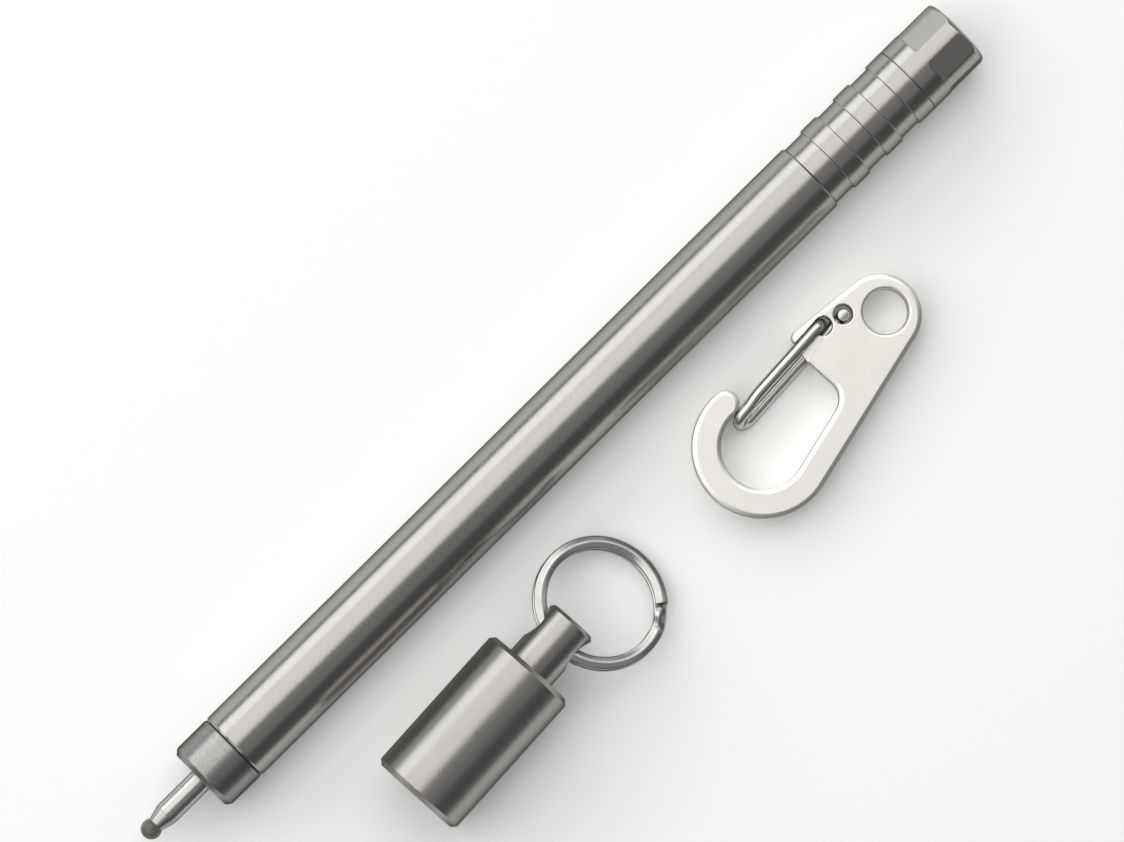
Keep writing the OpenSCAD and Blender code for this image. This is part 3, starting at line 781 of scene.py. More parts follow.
@dataclass
class Refill(Part):
    """The metal refill with its point and protective bead."""

    radius: float = 1.175
    wall: float = 0.3
    base: float = -8.99
    rear: float = 55.71
    nose: float = -11.09
    nose_radius: float = 0.6
    point_bore: float = 0.18
    shank: float = 0.865
    shank_length: float = 3.0
    bead_centre: float = -10.94
    bead_radius: float = 1.0
    bead_turn: int = 145
    bead_step: int = 5
    bead_lip: float = 0.80
    bead_bore: float = 0.66
    bead_floor: float = 0.61

    def build(self) -> None:
        """Makes the tube, the point and the bead."""
        r, base, inside = self.radius, self.base, self.radius - self.wall
        tube = turned("refill_barrel", [(base, r, 0.02), (self.rear, r, 0.05), (self.rear, inside, 0),
                                        (base, inside, 0)], self.pen, around=SLIM_ROUND)
        dress(tube, REFILL_STEEL, Slot.STEEL, Body.REFILL, "refill_tube")
        end = base + self.shank_length
        point = turned("refill_point", [
            (self.nose, self.point_bore, 0), (self.nose, self.nose_radius, 0.03), (base, r, 0.02),
            (base, self.shank, 0), (end, self.shank, 0), (end, self.point_bore, 0)],
            self.pen, around=SLIM_ROUND)
        dress(point, TIP_NICKEL, Slot.TIP, Body.REFILL, "refill_tip")
        middle, floor = self.bead_centre, self.nose - PRESS_GAP
        arc = [(middle - self.bead_radius * math.cos(a), self.bead_radius * math.sin(a), 0.0)
               for a in map(math.radians, range(0, self.bead_turn + 1, self.bead_step))]
        bead = turned("point_bead", arc + [
            (middle + self.bead_lip, self.bead_lip, 0), (middle, self.bead_bore, 0),
            (floor, self.bead_floor, 0), (floor, 0.0, 0)], self.pen, closed=False, around=SLIM_ROUND)
        dress(bead, BEAD_WAX, Slot.BEAD, Body.REFILL, "tip_bead")
        coat_node("writing_ball", STEEL)


@dataclass
class Tail(Part):
    """What pulls out: the inner tube, the ribbed grip and the end cap with its milled flats."""

    radius: float = 3.7
    grip_front: float = 76.22
    grip_rings: int = 3
    groove: float = 2.25
    rib: float = 2.06
    groove_depth: float = 0.21
    rib_edge: float = 0.06
    head_edge: float = 1.5
    head_length: float = 6.6
    head_round: float = 0.6
    head_plug: float = 5.0
    head_facets: int = 540
    flat_count: int = 6
    flat_set: float = 2.1
    flat_depth: float = 0.2
    flat_corner: float = 0.45
    flat_turn: float = 38.5
    mill_rows: int = 76
    mill_lead: float = 0.12
    mill_past: float = 0.1
    tube_radius: float = 2.605
    tube_bore: float = 1.905
    tube_front: float = 25.1
    tube_set: float = 0.02
    brake_front: float = 25.8
    brake_rear: float = 28.2
    brake_floor: float = 2.305

    @property
    def head_front(self) -> float:
        """Where the end cap meets the grip."""
        return self.grip_front + self.grip_rings * (self.groove + self.rib)

    def build(self) -> None:
        """Makes the three pieces."""
        self.build_tube()
        self.build_grip()
        self.build_head()

    def build_tube(self) -> None:
        """The sliding tube with its brake groove."""
        t, end = self.tube_radius, self.head_front - self.tube_set
        tube = turned("sliding_tube", [
            (self.tube_front, self.tube_bore, 0.05), (self.tube_front, t, 0.1), (self.brake_front, t, 0.03),
            (self.brake_front, self.brake_floor, 0), (self.brake_rear, self.brake_floor, 0),
            (self.brake_rear, t, 0.03), (end, t, 0), (end, self.tube_bore, 0)], self.pen)
        dress(tube, TUBE_TITANIUM, Slot.TURNED, Body.TAIL, "inner_tube")

    def build_grip(self) -> None:
        """The part with raised rings."""
        r, low, e = self.radius, self.radius - self.groove_depth, self.rib_edge
        inside = self.tube_radius + PRESS_GAP
        corners: list[Corner] = [(self.grip_front, inside, 0), (self.grip_front, low, 0.03)]
        for i in range(self.grip_rings):
            x = self.grip_front + i * (self.groove + self.rib) + self.groove
            end = x + self.rib
            foot = (end, inside, 0) if i == self.grip_rings - 1 else (end, low, 0.05)
            corners += [(x, low, 0.05), (x, r - e, 0.02), (x + e, r, 0.04), (end - e, r, 0.04),
                        (end, r - e, 0.02), foot]
        grip = turned("ribbed_grip", corners, self.pen, around=FINE_ROUND)
        dress(grip, TURNED, Slot.TURNED, Body.TAIL, "rib_grip")

    def build_head(self) -> None:
        """The end cap: turned, then milled with flats."""
        r, e, front = self.radius, self.rib_edge * self.head_edge, self.head_front
        end, plug = front + self.head_length, self.tube_bore - PRESS_GAP
        bm = bmesh.new()
        section = eased([
            (front - self.head_plug, 0, 0), (front - self.head_plug, plug, 0.1), (front, plug, 0),
            (front, r - e, 0.02), (front + e, r, 0.04), (end, r, self.head_round), (end, 0, 0)],
            closed=False, steps=12)
        spin_section(bm, section, False, self.head_facets)
        start = front + self.flat_set - self.mill_lead
        run = self.head_length - self.flat_set - self.head_round + self.mill_past
        cut_across(bm, (start + run * i / self.mill_rows for i in range(self.mill_rows + 1)))
        for v in bm.verts:
            self.mill(v)
        dress(finish_mesh(bm, "tail_head", self.pen), TURNED, Slot.TURNED, Body.TAIL, "end_cap")

    def mill(self, v: bmesh.types.BMVert) -> None:
        """Presses a vertex down to the floor of the flat that it lies in, if any.

        Args:
            v: a vertex of the turned end cap.
        """
        floor = self.radius - self.flat_depth
        half = math.sqrt(self.radius ** 2 - floor ** 2)
        start = self.head_front + self.flat_set
        for i in range(self.flat_count):
            a = math.radians(self.flat_turn + 360 / self.flat_count * i)
            up, side = Vector((0, math.sin(a), math.cos(a))), Vector((0, math.cos(a), -math.sin(a)))
            high, wide = v.co.dot(up), abs(v.co.dot(side))
            over = max(0.0, wide - (half - self.flat_corner))
            edge = start + self.flat_corner - math.sqrt(max(0.0, self.flat_corner ** 2 - over ** 2))
            if high > floor and v.co.x >= edge:
                v.co -= up * (high - floor)
                return


@dataclass
class KeyCap(Part):
    """The push-on cap with its stem, cross hole and seal."""

    turn: float = math.radians(3.35)
    mouth: Point = (8.85, -15.26)
    radius: float = 4.8
    bore: float = 3.8
    lip: float = 0.25
    depth: float = 14.24
    length: float = 16.1
    chamfer: float = 0.45
    seal_set: float = 1.7
    seal_thick: float = 0.68
    seal_radius: float = 4.3
    seal_round: float = 0.33
    stem: float = 2.55
    stem_length: float = 6.0
    stem_round: float = 0.35
    hole_set: float = 3.74
    hole: float = 1.3
    sink: float = 0.5
    cutter_reach: float = 4.0
    cutter_flare: float = 2.0
    loops: int = 16
    first_loop: float = 0.3
    loop_step: float = 0.35

    @property
    def place(self) -> Matrix:
        """The cap's own frame.

        Returns:
            The frame at the cap's mouth, with X along its axis.
        """
        x, y, _ = self.pen.translation
        mouth = (x + self.mouth[0] * MM, y + self.mouth[1] * MM, self.radius * MM)
        return Matrix.Translation(mouth) @ Matrix.Rotation(self.turn, 4, "Z")

    def build(self) -> None:
        """Makes the shell with its hole, and the seal."""
        place = self.place
        loops = [self.length + self.first_loop + self.loop_step * i for i in range(self.loops)]
        shell = turned("cap_body", self.shell_section(), place, around=FINE_ROUND, stations=loops)
        hole_at = place @ Matrix.Translation(((self.length + self.hole_set) * MM, 0, 0))
        reach, wide, sunk = self.cutter_reach, self.hole + self.cutter_flare, self.stem - self.sink
        cutter = turned("hole_cutter", [
            (-reach, 0, 0), (-reach, wide, 0), (-sunk, self.hole, 0.12), (sunk, self.hole, 0.12),
            (reach, wide, 0), (reach, 0, 0)],
            hole_at @ Matrix.Rotation(QUARTER_TURN, 4, "Z"), closed=False, around=64)
        carve(shell, [cutter])
        dress(shell, SATIN, Slot.SATIN, Body.CAP, "cap_shell", turn=self.turn)
        outer, half = self.seal_radius - PRESS_GAP, self.seal_thick / 2
        seal = turned("cap_seal", ring_section(
            self.seal_set - half, self.seal_set + half, outer - self.seal_thick, outer, self.seal_round),
            place, steps=6)
        dress(seal, RUBBER, Slot.RUBBER, Body.CAP, "cap_o_ring", turn=self.turn)

    def shell_section(self) -> list[Corner]:
        """The shell's section, with the seal's groove in its bore.

        Returns:
            Its corners, from the mouth round the outside.
        """
        r, c, n, b = self.radius, self.chamfer, self.length, self.bore
        end, stem, curve = n + self.stem_length, self.stem, self.stem_round
        half = self.seal_thick / 2
        front, rear = self.seal_set - half - PRESS_GAP, self.seal_set + half + PRESS_GAP
        return [
            (0, b + self.lip, 0.04), (0, r - c, 0.06), (c, r, 0.12), (n - c, r, 0.12), (n, r - c, 0.06),
            (n, stem, 0.12), (end - curve, stem, 0.2), (end, stem - curve, 0.2), (end, 0, 0),
            (self.depth, 0, 0), (self.depth, b, 0.3), (rear, b, 0.03), (rear, self.seal_radius, 0.05),
            (front, self.seal_radius, 0.05), (front, b, 0.03), (self.lip, b, 0.05)]


@dataclass
class SplitRing:
    """Two turns of flat spring wire that cross from one level to the other."""

    cap: KeyCap
    outer: float = 13.1
    wide: float = 1.27
    thick: float = 0.62
    gap: float = 0.04
    corner: float = 0.24
    crown: float = 0.48
    crown_round: float = 0.6
    end_round: float = 0.05
    slant: float = math.radians(-8.5)
    cross_turn: float = math.radians(-40)
    offset: float = 0.3
    cross: float = 26.0
    cross_steps: int = 12
    coil_steps: int = 150
    slit: float = 1.2

    @property
    def middle(self) -> float:
        """The wire's middle radius."""
        return (self.outer - self.wide) / 2

    @property
    def place(self) -> Matrix:
        """The ring's own frame, leaning from the cap's cross hole down to the table.

        Returns:
            The frame, with Z along the ring's axis.
        """
        reach = self.middle - self.offset
        half, far = self.thick + self.gap / 2, reach + self.outer / 2
        lean = math.asin(self.cap.radius / math.hypot(far, half)) - math.atan2(half, far)
        hole = self.cap.place @ Matrix.Translation(((self.cap.length + self.cap.hole_set) * MM, 0, 0))
        slanted = hole @ Matrix.Rotation(lean, 4, "Y") @ Matrix.Rotation(self.slant, 4, "Z")
        return slanted @ Matrix.Translation((reach * MM, 0, 0)) @ Matrix.Rotation(self.cross_turn, 4, "Z")

    def section(self) -> list[Point]:
        """The wire's section, crowned above and below.

        Returns:
            Its (radius, height) points.
        """
        mid, w, t = self.middle, self.wide / 2, self.thick / 2
        low, c, top = t * self.crown, self.corner, self.crown_round
        return eased([(mid - w, -low, c), (mid, -t, top), (mid + w, -low, c), (mid + w, low, c),
                      (mid, t, top), (mid - w, low, c)])

    def build(self) -> None:
        """Makes the ring through the cap's cross hole."""
        level = (self.thick + self.gap) / 2
        coil = math.radians(360 - self.cross - self.slit)
        bm = bmesh.new()
        verts = [bm.verts.new((x, 0, z + level)) for x, z in self.section()]
        edges = [bm.edges.new(pair) for pair in zip(verts, verts[1:] + verts[:1])]
        bmesh.ops.transform(bm, matrix=Matrix.Rotation(math.radians(self.slit), 4, "Z"), verts=verts)
        ends = bmesh.ops.edgeloop_fill(bm, edges=edges)["faces"]
        last = self.sweep(bm, verts + edges, coil, self.coil_steps, 0.0)
        heights = [math.cos(math.pi * i / self.cross_steps) * level for i in range(self.cross_steps + 1)]
        for high, low in zip(heights, heights[1:]):
            last = self.sweep(bm, last, math.radians(self.cross / self.cross_steps), 1, low - high)
        last = self.sweep(bm, last, coil, self.coil_steps, 0.0)
        rim = [g for g in last if isinstance(g, bmesh.types.BMEdge)]
        ends += bmesh.ops.edgeloop_fill(bm, edges=rim)["faces"]
        round_edges(bm, [e for f in ends for e in f.edges], self.end_round, segments=2)
        ring = finish_mesh(bm, "split_ring_coil", self.place)
        dress(ring, STEEL, Slot.STEEL, Body.RING, "split_ring", turn=self.cap.turn)

    @staticmethod
    def sweep(bm: bmesh.types.BMesh, geom: list[Any], angle: float, steps: int, rise: float) -> list[Any]:
        """Spins a section on round the ring's axis.

        Args:
            bm: the ring's mesh.
            geom: the section's vertices and edges.
            angle: how far round.
            steps: in how many steps.
            rise: how far up over the whole stretch.

        Returns:
            The section at the end.
        """
        made = bmesh.ops.spin(bm, geom=geom, cent=(0, 0, 0), axis=(0, 0, 1), dvec=(0, 0, rise / steps),
                              angle=angle, steps=steps, use_merge=False)
        return made["geom_last"]


class Wire:
    """A round wire drawn on from one end, with straight runs and bends."""

    def __init__(self, at: Vector, way: Vector, radius: float, around: int = 32) -> None:
        """Starts with a round end face.

        Args:
            at: the face's middle.
            way: where the wire goes from there.
            radius: the wire's radius.
            around: facets round the wire.
        """
        self.bm = bmesh.new()
        self.at, self.way = at.copy(), way.normalized()
        turn = Vector((0, 0, 1)).rotation_difference(self.way).to_matrix().to_4x4()
        bmesh.ops.create_circle(self.bm, cap_ends=True, segments=around, radius=radius,
                                matrix=Matrix.Translation(at) @ turn)
        self.first = self.bm.faces[:]
        self.rim = self.bm.edges[:]

    def straight(self, length: float) -> "Wire":
        """Draws the wire straight on.

        Args:
            length: how far.

        Returns:
            The wire.
        """
        made = bmesh.ops.extrude_edge_only(self.bm, edges=self.rim)["geom"]
        verts = [g for g in made if isinstance(g, bmesh.types.BMVert)]
        bmesh.ops.translate(self.bm, vec=self.way * length, verts=verts)
        self.rim = [g for g in made if isinstance(g, bmesh.types.BMEdge) and all(v in verts for v in g.verts)]
        self.at += self.way * length
        return self

    def bend(self, toward: Vector, radius: float, angle: float, steps: int = 16) -> "Wire":
        """Bends the wire towards a side.

        Args:
            toward: the side.
            radius: how far off the bend's centre lies.
            angle: how far it bends.
            steps: in how many steps.

        Returns:
            The wire.
        """
        toward = toward.normalized()
        centre, axis = self.at + toward * radius, self.way.cross(toward)
        verts = list(dict.fromkeys(v for e in self.rim for v in e.verts))
        made = bmesh.ops.spin(self.bm, geom=verts + self.rim, cent=centre, axis=axis, angle=angle,
                              steps=steps, use_merge=False)["geom_last"]
        self.rim = [g for g in made if isinstance(g, bmesh.types.BMEdge)]
        spun = Matrix.Rotation(angle, 3, axis)
        self.at = centre + spun @ (self.at - centre)
        self.way = spun @ self.way
        return self

    def close(self, name: str, place: Matrix, ease: float) -> bpy.types.Object:
        """Ends the wire with a round face.

        Args:
            name: the piece's name.
            place: its frame in the row's frame.
            ease: width of the rounding at both ends, 0 for none.

        Returns:
            The finished object.
        """
        ends = self.first + bmesh.ops.edgeloop_fill(self.bm, edges=self.rim)["faces"]
        if ease:
            round_edges(self.bm, [e for f in ends for e in f.edges], ease, segments=3)
        return finish_mesh(self.bm, name, place)


@dataclass
class SnapHook(Part):
    """The die-cast hook and its bent wire gate.

    Points lie in the hook's frame: X from the bow to the eye, Z from its back. A leg is given as the x of
    its pin, then its y and z; a hole as its middle and radius; edge is the (inwards, up) profile of the rims.
    """

    turn: float = math.radians(3.49)
    bow_at: Point = (55.2, -15.23)
    thick: float = 3.0
    edge: tuple[Point, ...] = ((0, 0), (0.02, 0.06), (0.07, 0.10), (0.38, 0.235), (0.44, 0.25))
    bow: Point = (0.0, 0.25)
    bow_radius: float = 6.7
    band: float = 2.7
    eye: Point = (16.65, 0.3)
    eye_radius: float = 3.9
    eye_hole: Triple = (17.25, 0.15, 2.14)
    eye_ease: float = 0.3
    nose_turn: float = 83.6
    nose_end: Point = (183.0, 357.0)
    web_x: float = 8.85
    web_round: float = 2.0
    corner_y: float = 2.6
    tongue: Point = (10.0, 4.6)
    tongue_radius: float = 0.7
    arc_step: float = 2.5
    level_angle: float = math.radians(0.3)
    soften_width: float = 0.07
    soften_angle: float = math.radians(40)
    wire: float = 0.575
    wire_ease: float = 0.12
    leg_a: Triple = (12.26, 3.97, 2.65)
    leg_b: Triple = (14.36, 2.91, 0.60)
    hole_a: Triple = (12.26, 3.67, 0.915)
    hole_b: Triple = (14.36, 2.98, 0.935)
    hole_ease: float = 0.14
    hole_steps: int = 6
    pin_rise: float = 0.3
    pin_set: float = 0.45
    loop_x: float = 1.3
    loop_steps: int = 40
    bend: float = 0.75
    lead_radius: float = 8.0
    lead_turn: float = math.radians(9)
    opening: float = math.radians(12)
    seat_gap: float = 0.05
    seat_facets: int = 40
    groove_gap: float = 0.06
    groove_lead: float = 1.5
    rib: Triple = (0.95, 4.5, 0.42)
    rib_gap: float = 0.25
    rib_ease: float = 0.08

    @property
    def place(self) -> Matrix:
        """The hook's own frame.

        Returns:
            The frame at the hook's back, under the bow's centre.
        """
        x, y, _ = self.pen.translation
        under_bow = (x + self.bow_at[0] * MM, y + self.bow_at[1] * MM, 0)
        return Matrix.Translation(under_bow) @ Matrix.Rotation(self.turn, 4, "Z")

    @property
    def pivot(self) -> Vector:
        """Where the gate turns, half way between its pins."""
        return (Vector(self.leg_a[:2]) + Vector(self.leg_b[:2])) / 2

    def swung(self, x: float, y: float) -> Vector:
        """Where a point of the gate is when it stands open."""
        return self.pivot + Matrix.Rotation(self.opening, 2) @ (Vector((x, y)) - self.pivot)

    @staticmethod
    def way(angle: float) -> Vector:
        """Unit vector at an angle in degrees."""
        return Vector((math.cos(math.radians(angle)), math.sin(math.radians(angle))))

    @staticmethod
    def heading(start: Vector, end: Vector) -> float:
        """Direction from one point to another, in degrees."""
        return math.degrees(math.atan2(end.y - start.y, end.x - start.x))

    @staticmethod
    def tangent(shrink: float, apart: Vector) -> float:
        """Angle between the line of two centres and the radius at which a common tangent leaves."""
        return math.degrees(math.acos(shrink / apart.length))

    def arc(self, centre: Vector, radius: float, start: float, end: float) -> list[Vector]:
        """Points along an arc from one angle to another, in degrees."""
        n = max(4, math.ceil(abs(end - start) / self.arc_step))
        return [centre + radius * self.way(start + (end - start) * i / n) for i in range(n + 1)]

    def outline(self) -> list[Vector]:
        """The hook's outline.

        Returns:
            Its points, from the nose round the bow, eye, tongue and web and back inside the bow.
        """
        bow_r, eye_r, tip_r = self.bow_radius, self.eye_radius, self.tongue_radius
        bow, eye, tongue, corner = map(Vector, (self.bow, self.eye, self.tongue, (self.web_x, self.corner_y)))
        low = self.heading(bow, eye) - self.tangent(bow_r - eye_r, eye - bow)
        top = self.heading(tongue, eye) + self.tangent(tip_r - eye_r, eye - tongue)
        end = self.heading(tongue, corner) + 360 - self.tangent(tip_r, corner - tongue)
        inner, half = bow_r - self.band, self.band / 2
        spine = bow + inner * self.way(low)
        across = self.web_x - self.web_round - spine.x + self.web_round * math.cos(math.radians(low))
        run = across / math.cos(math.radians(low + 90))
        fillet = spine + run * self.way(low + 90) - self.web_round * self.way(low)
        mid = bow + (bow_r - half) * self.way(self.nose_turn)
        start, stop = (self.nose_turn + a for a in self.nose_end)
        outside = self.arc(bow, bow_r, self.nose_turn, 360 + low) + self.arc(eye, eye_r, low, top)
        back = self.arc(tongue, tip_r, top, end) + [corner] + self.arc(fillet, self.web_round, 0, low)
        inside = self.arc(bow, inner, 360 + low, self.nose_turn) + self.arc(mid, half, start, stop)
        return outside + back + inside

    def build(self) -> None:
        """Makes the plate, the rib on its nose and the gate."""
        self.build_plate()
        self.build_rib()
        self.build_gate()

    def build_plate(self) -> None:
        """Casts the plate, cuts its holes, grooves and seat, and softens what is left sharp."""
        plate = self.cast_plate()
        groove = self.wire + self.groove_gap
        carve(plate, [
            self.bore_cutter(self.eye_hole, self.eye_ease, "eye_cutter"),
            self.bore_cutter(self.hole_a, self.hole_ease, "front_leg_cutter"),
            self.bore_cutter(self.hole_b, self.hole_ease, "rear_leg_cutter"),
            self.groove_cutter(self.leg_a, self.leg_a[2] - groove, self.thick + OVERSHOOT),
            self.groove_cutter(self.leg_b, -OVERSHOOT, self.leg_b[2] + groove),
            self.seat_cutter()])
        self.level(plate)
        soften = plate.modifiers.new("soften", "BEVEL")
        soften.width = self.soften_width * MM
        soften.segments = 2
        soften.limit_method = "ANGLE"
        soften.angle_limit = self.soften_angle
        flatten = plate.modifiers.new("flatten", "WEIGHTED_NORMAL")
        flatten.keep_sharp = True
        flatten.weight = 100
        dress(plate, HOOK_NICKEL, Slot.HOOK, Body.HOOK, "hook_plate", turn=self.turn)

    def level(self, plate: bpy.types.Object) -> None:
        """Joins the cut faces of each level again, so that they shade as one.

        Args:
            plate: the cut plate.
        """
        bm = bmesh.new()
        bm.from_mesh(plate.data)
        bmesh.ops.dissolve_limit(bm, angle_limit=self.level_angle, verts=bm.verts, edges=bm.edges)
        bm.to_mesh(plate.data)
        bm.free()

    def cast_plate(self) -> bpy.types.Object:
        """The plate with its bevelled edges, before its holes are cut.

        Returns:
            The closed plate.
        """
        low = self.edge[-1][1]
        bm = bmesh.new()
        face = bm.faces.new([bm.verts.new((p.x, p.y, low)) for p in self.outline()])
        top = prism(bm, face, self.thick - 2 * low)
        bmesh.ops.recalc_face_normals(bm, faces=bm.faces)
        for end in (face, top):
            for (a, b), (c, d) in zip(self.edge, self.edge[1:]):
                bmesh.ops.inset_individual(bm, faces=[end], thickness=c - a, depth=d - b,
                                           use_even_offset=True)
        return finish_mesh(bm, "hook_casting", self.place)

    def bore_cutter(self, hole: Triple, ease: float, name: str) -> bpy.types.Object:
        """What a hole takes out of the plate, with eased rims.

        Args:
            hole: the middle across the hook, and the radius.
            ease: easing radius of both rims.
            name: the cutter's name.

        Returns:
            The turned cutter.
        """
        x, y, r = hole
        wide = r + ease
        flare = [(self.thick - ease + ease * math.sin(a), r + ease * (1 - math.cos(a)), 0.0)
                 for a in (QUARTER_TURN * i / self.hole_steps for i in range(self.hole_steps + 1))]
        low = [(self.thick - h, q, 0.0) for h, q, _ in reversed(flare)]
        corners = [(-OVERSHOOT, 0.0, 0.0), (-OVERSHOOT, wide, 0.0)] + low + flare + [
            (self.thick + OVERSHOOT, wide, 0.0), (self.thick + OVERSHOOT, 0.0, 0.0)]
        at = self.place @ Matrix.Translation((x * MM, y * MM, 0))
        upright = at @ Matrix.Rotation(-QUARTER_TURN, 4, "Y")
        return turned(name, corners, upright, closed=False, around=SLIM_ROUND)

    def groove_cutter(self, leg: Triple, low: float, high: float) -> bpy.types.Object:
        """The room that a leg sweeps as the gate opens.

        Args:
            leg: the gate's front or rear leg.
            low: the groove's floor.
            high: its ceiling.

        Returns:
            The cutter.
        """
        h, end, y = self.wire + self.groove_gap, self.web_x - self.groove_lead, leg[1]
        near = min(leg[0], self.pivot.x)
        points = [self.swung(leg[0], y + h)] if leg[0] > self.pivot.x else []
        points += [Vector((near, y + h)), Vector((end, y + h)), self.swung(end, y - h),
                   self.swung(near, y - h), Vector((leg[0], y - h))]
        bm = bmesh.new()
        prism(bm, bm.faces.new([bm.verts.new((p.x, p.y, low)) for p in points]), high - low)
        return finish_mesh(bm, "groove_cutter", self.place)

    def seat_cutter(self) -> bpy.types.Object:
        """The shallow seat that the gate's closed end has in the nose.

        Returns:
            The cutter.
        """
        ay, az, by, bz = *self.leg_a[1:], *self.leg_b[1:]
        across = Vector((0, by - ay, bz - az))
        start = Vector((self.loop_x + OVERSHOOT, ay, az))
        seat = Wire(start, Vector((-1, 0, 0)), self.wire + self.seat_gap, self.seat_facets)
        seat.straight(OVERSHOOT).bend(across, across.length / 2, HALF_TURN, self.loop_steps)
        return seat.close("seat_cutter", self.place, 0.0)

    def build_rib(self) -> None:
        """The small rib on the nose that stands between the gate's legs."""
        x, y, r = self.rib
        top, low = self.leg_a[2], self.leg_b[2]
        high = top - low - 2 * self.wire - self.rib_gap
        nose_y = self.bow[1] + (self.bow_radius - self.band / 2) * math.sin(math.radians(self.nose_turn))
        bm = bmesh.new()
        base = Matrix.Translation((x, y, (top + low - high) / 2))
        bmesh.ops.create_circle(bm, cap_ends=True, segments=32, radius=r, matrix=base)
        for v in bm.verts:
            if v.co.y > y + MERGE:
                v.co = Vector((x + math.copysign(r, v.co.x - x), nose_y, v.co.z))
        prism(bm, bm.faces[:][0], high)
        rims = [e for e in bm.edges if abs(e.verts[0].co.z - e.verts[1].co.z) < MERGE]
        round_edges(bm, rims, self.rib_ease, segments=3)
        dress(finish_mesh(bm, "nose_rib", self.place), HOOK_NICKEL, Slot.HOOK, Body.HOOK, turn=self.turn)

    def build_gate(self) -> None:
        """The gate: down-pin, front leg, round loop, rear leg and up-pin in one wire."""
        (ax, ay, az), (bx, by, bz) = self.leg_a, self.leg_b
        pin_low, pin_top = bz + self.wire + self.pin_rise, self.thick - self.pin_set
        up, inwards, bend = Vector((0, 0, 1)), Vector((0, -1, 0)), self.bend
        turn, lead = self.lead_turn, self.lead_radius
        run, shift = 2 * lead * math.sin(turn), 2 * lead * (1 - math.cos(turn))
        across = Vector((0, by - ay + shift, bz - az))
        wire = Wire(Vector((ax, ay, pin_low)), up, self.wire)
        wire.straight(az - bend - pin_low).bend(Vector((-1, 0, 0)), bend, QUARTER_TURN)
        wire.straight(ax - bend - self.loop_x - run).bend(inwards, lead, turn)
        wire.bend(wire.way.cross(up), lead, turn).bend(across, across.length / 2, HALF_TURN, self.loop_steps)
        wire.straight(bx - bend - self.loop_x).bend(up, bend, QUARTER_TURN)
        wire.straight(pin_top - bz - bend)
        spring = wire.close("gate_spring", self.place, self.wire_ease)
        dress(spring, SPRING_STEEL, Slot.STEEL, Body.GATE, "gate_wire", turn=self.turn)


@dataclass(frozen=True)
class Softbox:
    """One lamp, in metres: where it stands as seen from the object, and how bright its face is."""

    name: str
    from_zenith: float
    heading: float
    distance: float
    height: float
    width: float
    radiance: float
    colour: Colour = (1.0, 1.0, 1.0)

    def hang(self, target: Vector) -> None:
        """Hangs the lamp so that it faces the object.

        Args:
            target: the point that it faces, in metres.
        """
        light = bpy.data.lights.new(self.name, "AREA")
        light.shape = "RECTANGLE"
        light.size = self.width
        light.size_y = self.height
        light.energy = self.radiance * math.pi * self.width * self.height
        light.color = self.colour
        lamp = bpy.data.objects.new(self.name, light)
        tilt, head = math.radians(self.from_zenith), math.radians(self.heading)
        way = Vector((math.sin(tilt) * math.cos(head), math.sin(tilt) * math.sin(head), math.cos(tilt)))
        lamp.location = target + way * self.distance
        side = Vector((0, 0, 1)).cross(way).normalized()
        lamp.rotation_euler = Matrix((side, way.cross(side), way)).transposed().to_euler()
        lamp.visible_camera = False
        bpy.context.scene.collection.objects.link(lamp)


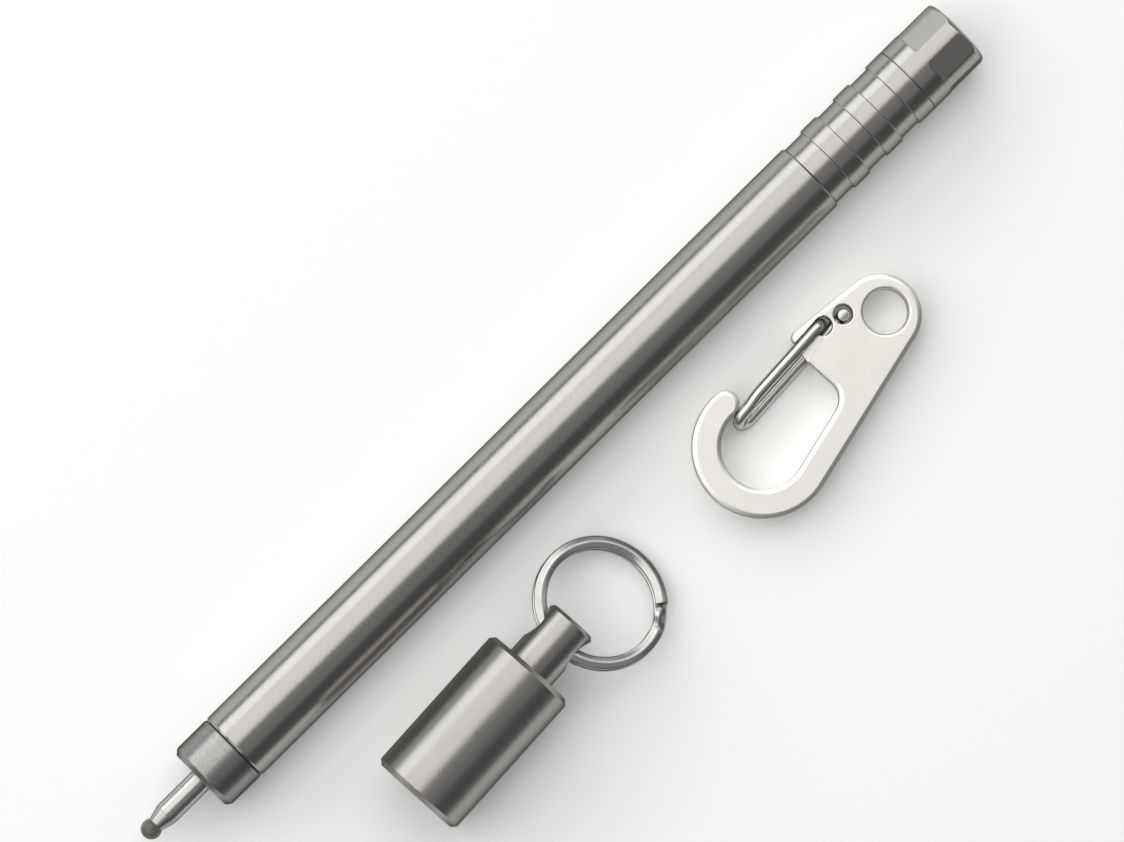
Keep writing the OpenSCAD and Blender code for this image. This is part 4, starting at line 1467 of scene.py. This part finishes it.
@dataclass
class Studio:
    """The pale table, the lamps and the long-lens camera above them."""

    table_half: float = 6000.0
    table_drop: float = 0.03
    table_rough: float = 0.8
    table_shine: float = 0.1
    cloud_rate: float = 3.0
    tones: tuple[float, float] = (0.94, 0.96)
    glow: float = 0.10
    room_colour: Colour = (0.95, 0.97, 1.0)
    room_light: float = 0.12
    photo_width: int = 1124
    pixel: float = 0.094
    sensor: float = 36.0
    clip_m: tuple[float, float] = (0.05, 20.0)
    distance: float = 1050.0
    tilt: float = math.radians(2.4)
    centre: Point = (43.4, 0.1)
    along: Point = (0.71056, -0.70364)
    lamps: tuple[Softbox, ...] = (
        Softbox("side_softbox", 61, 90, 0.62, 0.35, 1.50, 2.05, (0.985, 0.99, 1.0)),
        Softbox("top_softbox", 21, 90, 0.72, 0.59, 1.40, 1.50, (1.0, 0.985, 0.95)),
        Softbox("fill", 26, -90, 0.75, 0.50, 1.00, 0.20, (1.0, 0.99, 0.97)),
        Softbox("tail_light", 50, 0, 0.80, 0.45, 0.60, 0.7),
        Softbox("nose_light", 50, 180, 0.80, 0.45, 0.60, 0.7),
    )

    def build(self, pen: Matrix) -> None:
        """Sets table, lamps, world and camera.

        Args:
            pen: the pen's frame.
        """
        self.lay_table()
        target = pen.translation + Vector((self.centre[0], self.centre[1], 0)) * MM
        for lamp in self.lamps:
            lamp.hang(target)
        self.set_world()
        self.set_camera(target)

    def lay_table(self) -> None:
        """A plain white table top that keeps soft shadows and shows white in metal too."""
        bm = bmesh.new()
        bmesh.ops.create_grid(bm, x_segments=1, y_segments=1, size=self.table_half)
        table = finish_mesh(bm, "table_top", Matrix.Translation((0, 0, -self.table_drop * MM)))
        r = Recipe("white_table")
        cloud = r.noise(r.place, self.cloud_rate, rough=0.5)
        rays = [Signal(r, r.node("ShaderNodeLightPath", {}, {}, f"Is {kind} Ray"))
                for kind in ("Camera", "Glossy", "Transmission")]
        seen = rays[0] + rays[1] + rays[2]
        white = r.blend(cloud, grey(self.tones[0]), grey(self.tones[1]))
        r.feed(base_color=white, roughness=self.table_rough, specular_ior_level=self.table_shine,
               emission_color=r.blend(seen, grey(0.0), grey(self.glow)), emission_strength=1.0)
        table.data.materials.append(r.material)

    def set_world(self) -> None:
        """A dim even room."""
        world = bpy.data.worlds.new("room")
        world.use_nodes = True
        back = world.node_tree.nodes["Background"]
        back.inputs["Color"].default_value = rgba(self.room_colour)
        back.inputs["Strength"].default_value = self.room_light
        bpy.context.scene.world = world

    def set_camera(self, target: Vector) -> None:
        """Looks almost straight down, from a little nearer the pen's point.

        Args:
            target: the point in the middle of the picture, in metres.
        """
        data = bpy.data.cameras.new("camera")
        data.sensor_width = self.sensor
        data.sensor_fit = "HORIZONTAL"
        data.lens = self.sensor * self.distance / (self.photo_width * self.pixel)
        data.clip_start, data.clip_end = self.clip_m
        camera = bpy.data.objects.new("camera", data)
        back = Vector((-math.sin(self.tilt), 0, math.cos(self.tilt)))
        x, y = self.along
        right = Vector((-y, x, 0)).cross(back).normalized()
        turn = Matrix((right, back.cross(right), back)).transposed().to_4x4()
        camera.matrix_world = Matrix.Translation(target + back * self.distance * MM) @ turn
        bpy.context.scene.collection.objects.link(camera)
        bpy.context.scene.camera = camera
        bpy.context.scene.view_settings.view_transform = "Standard"


def main() -> None:
    """Builds the product piece by piece, then the studio."""
    logging.basicConfig(level=logging.INFO, format="%(message)s")
    pen = pen_place()
    cap = KeyCap(pen)
    for part in (Barrel(pen), Nose(pen), Refill(pen), Tail(pen), cap, SplitRing(cap), SnapHook(pen)):
        part.build()
    Studio().build(pen)


if __name__ == "__main__":
    main()
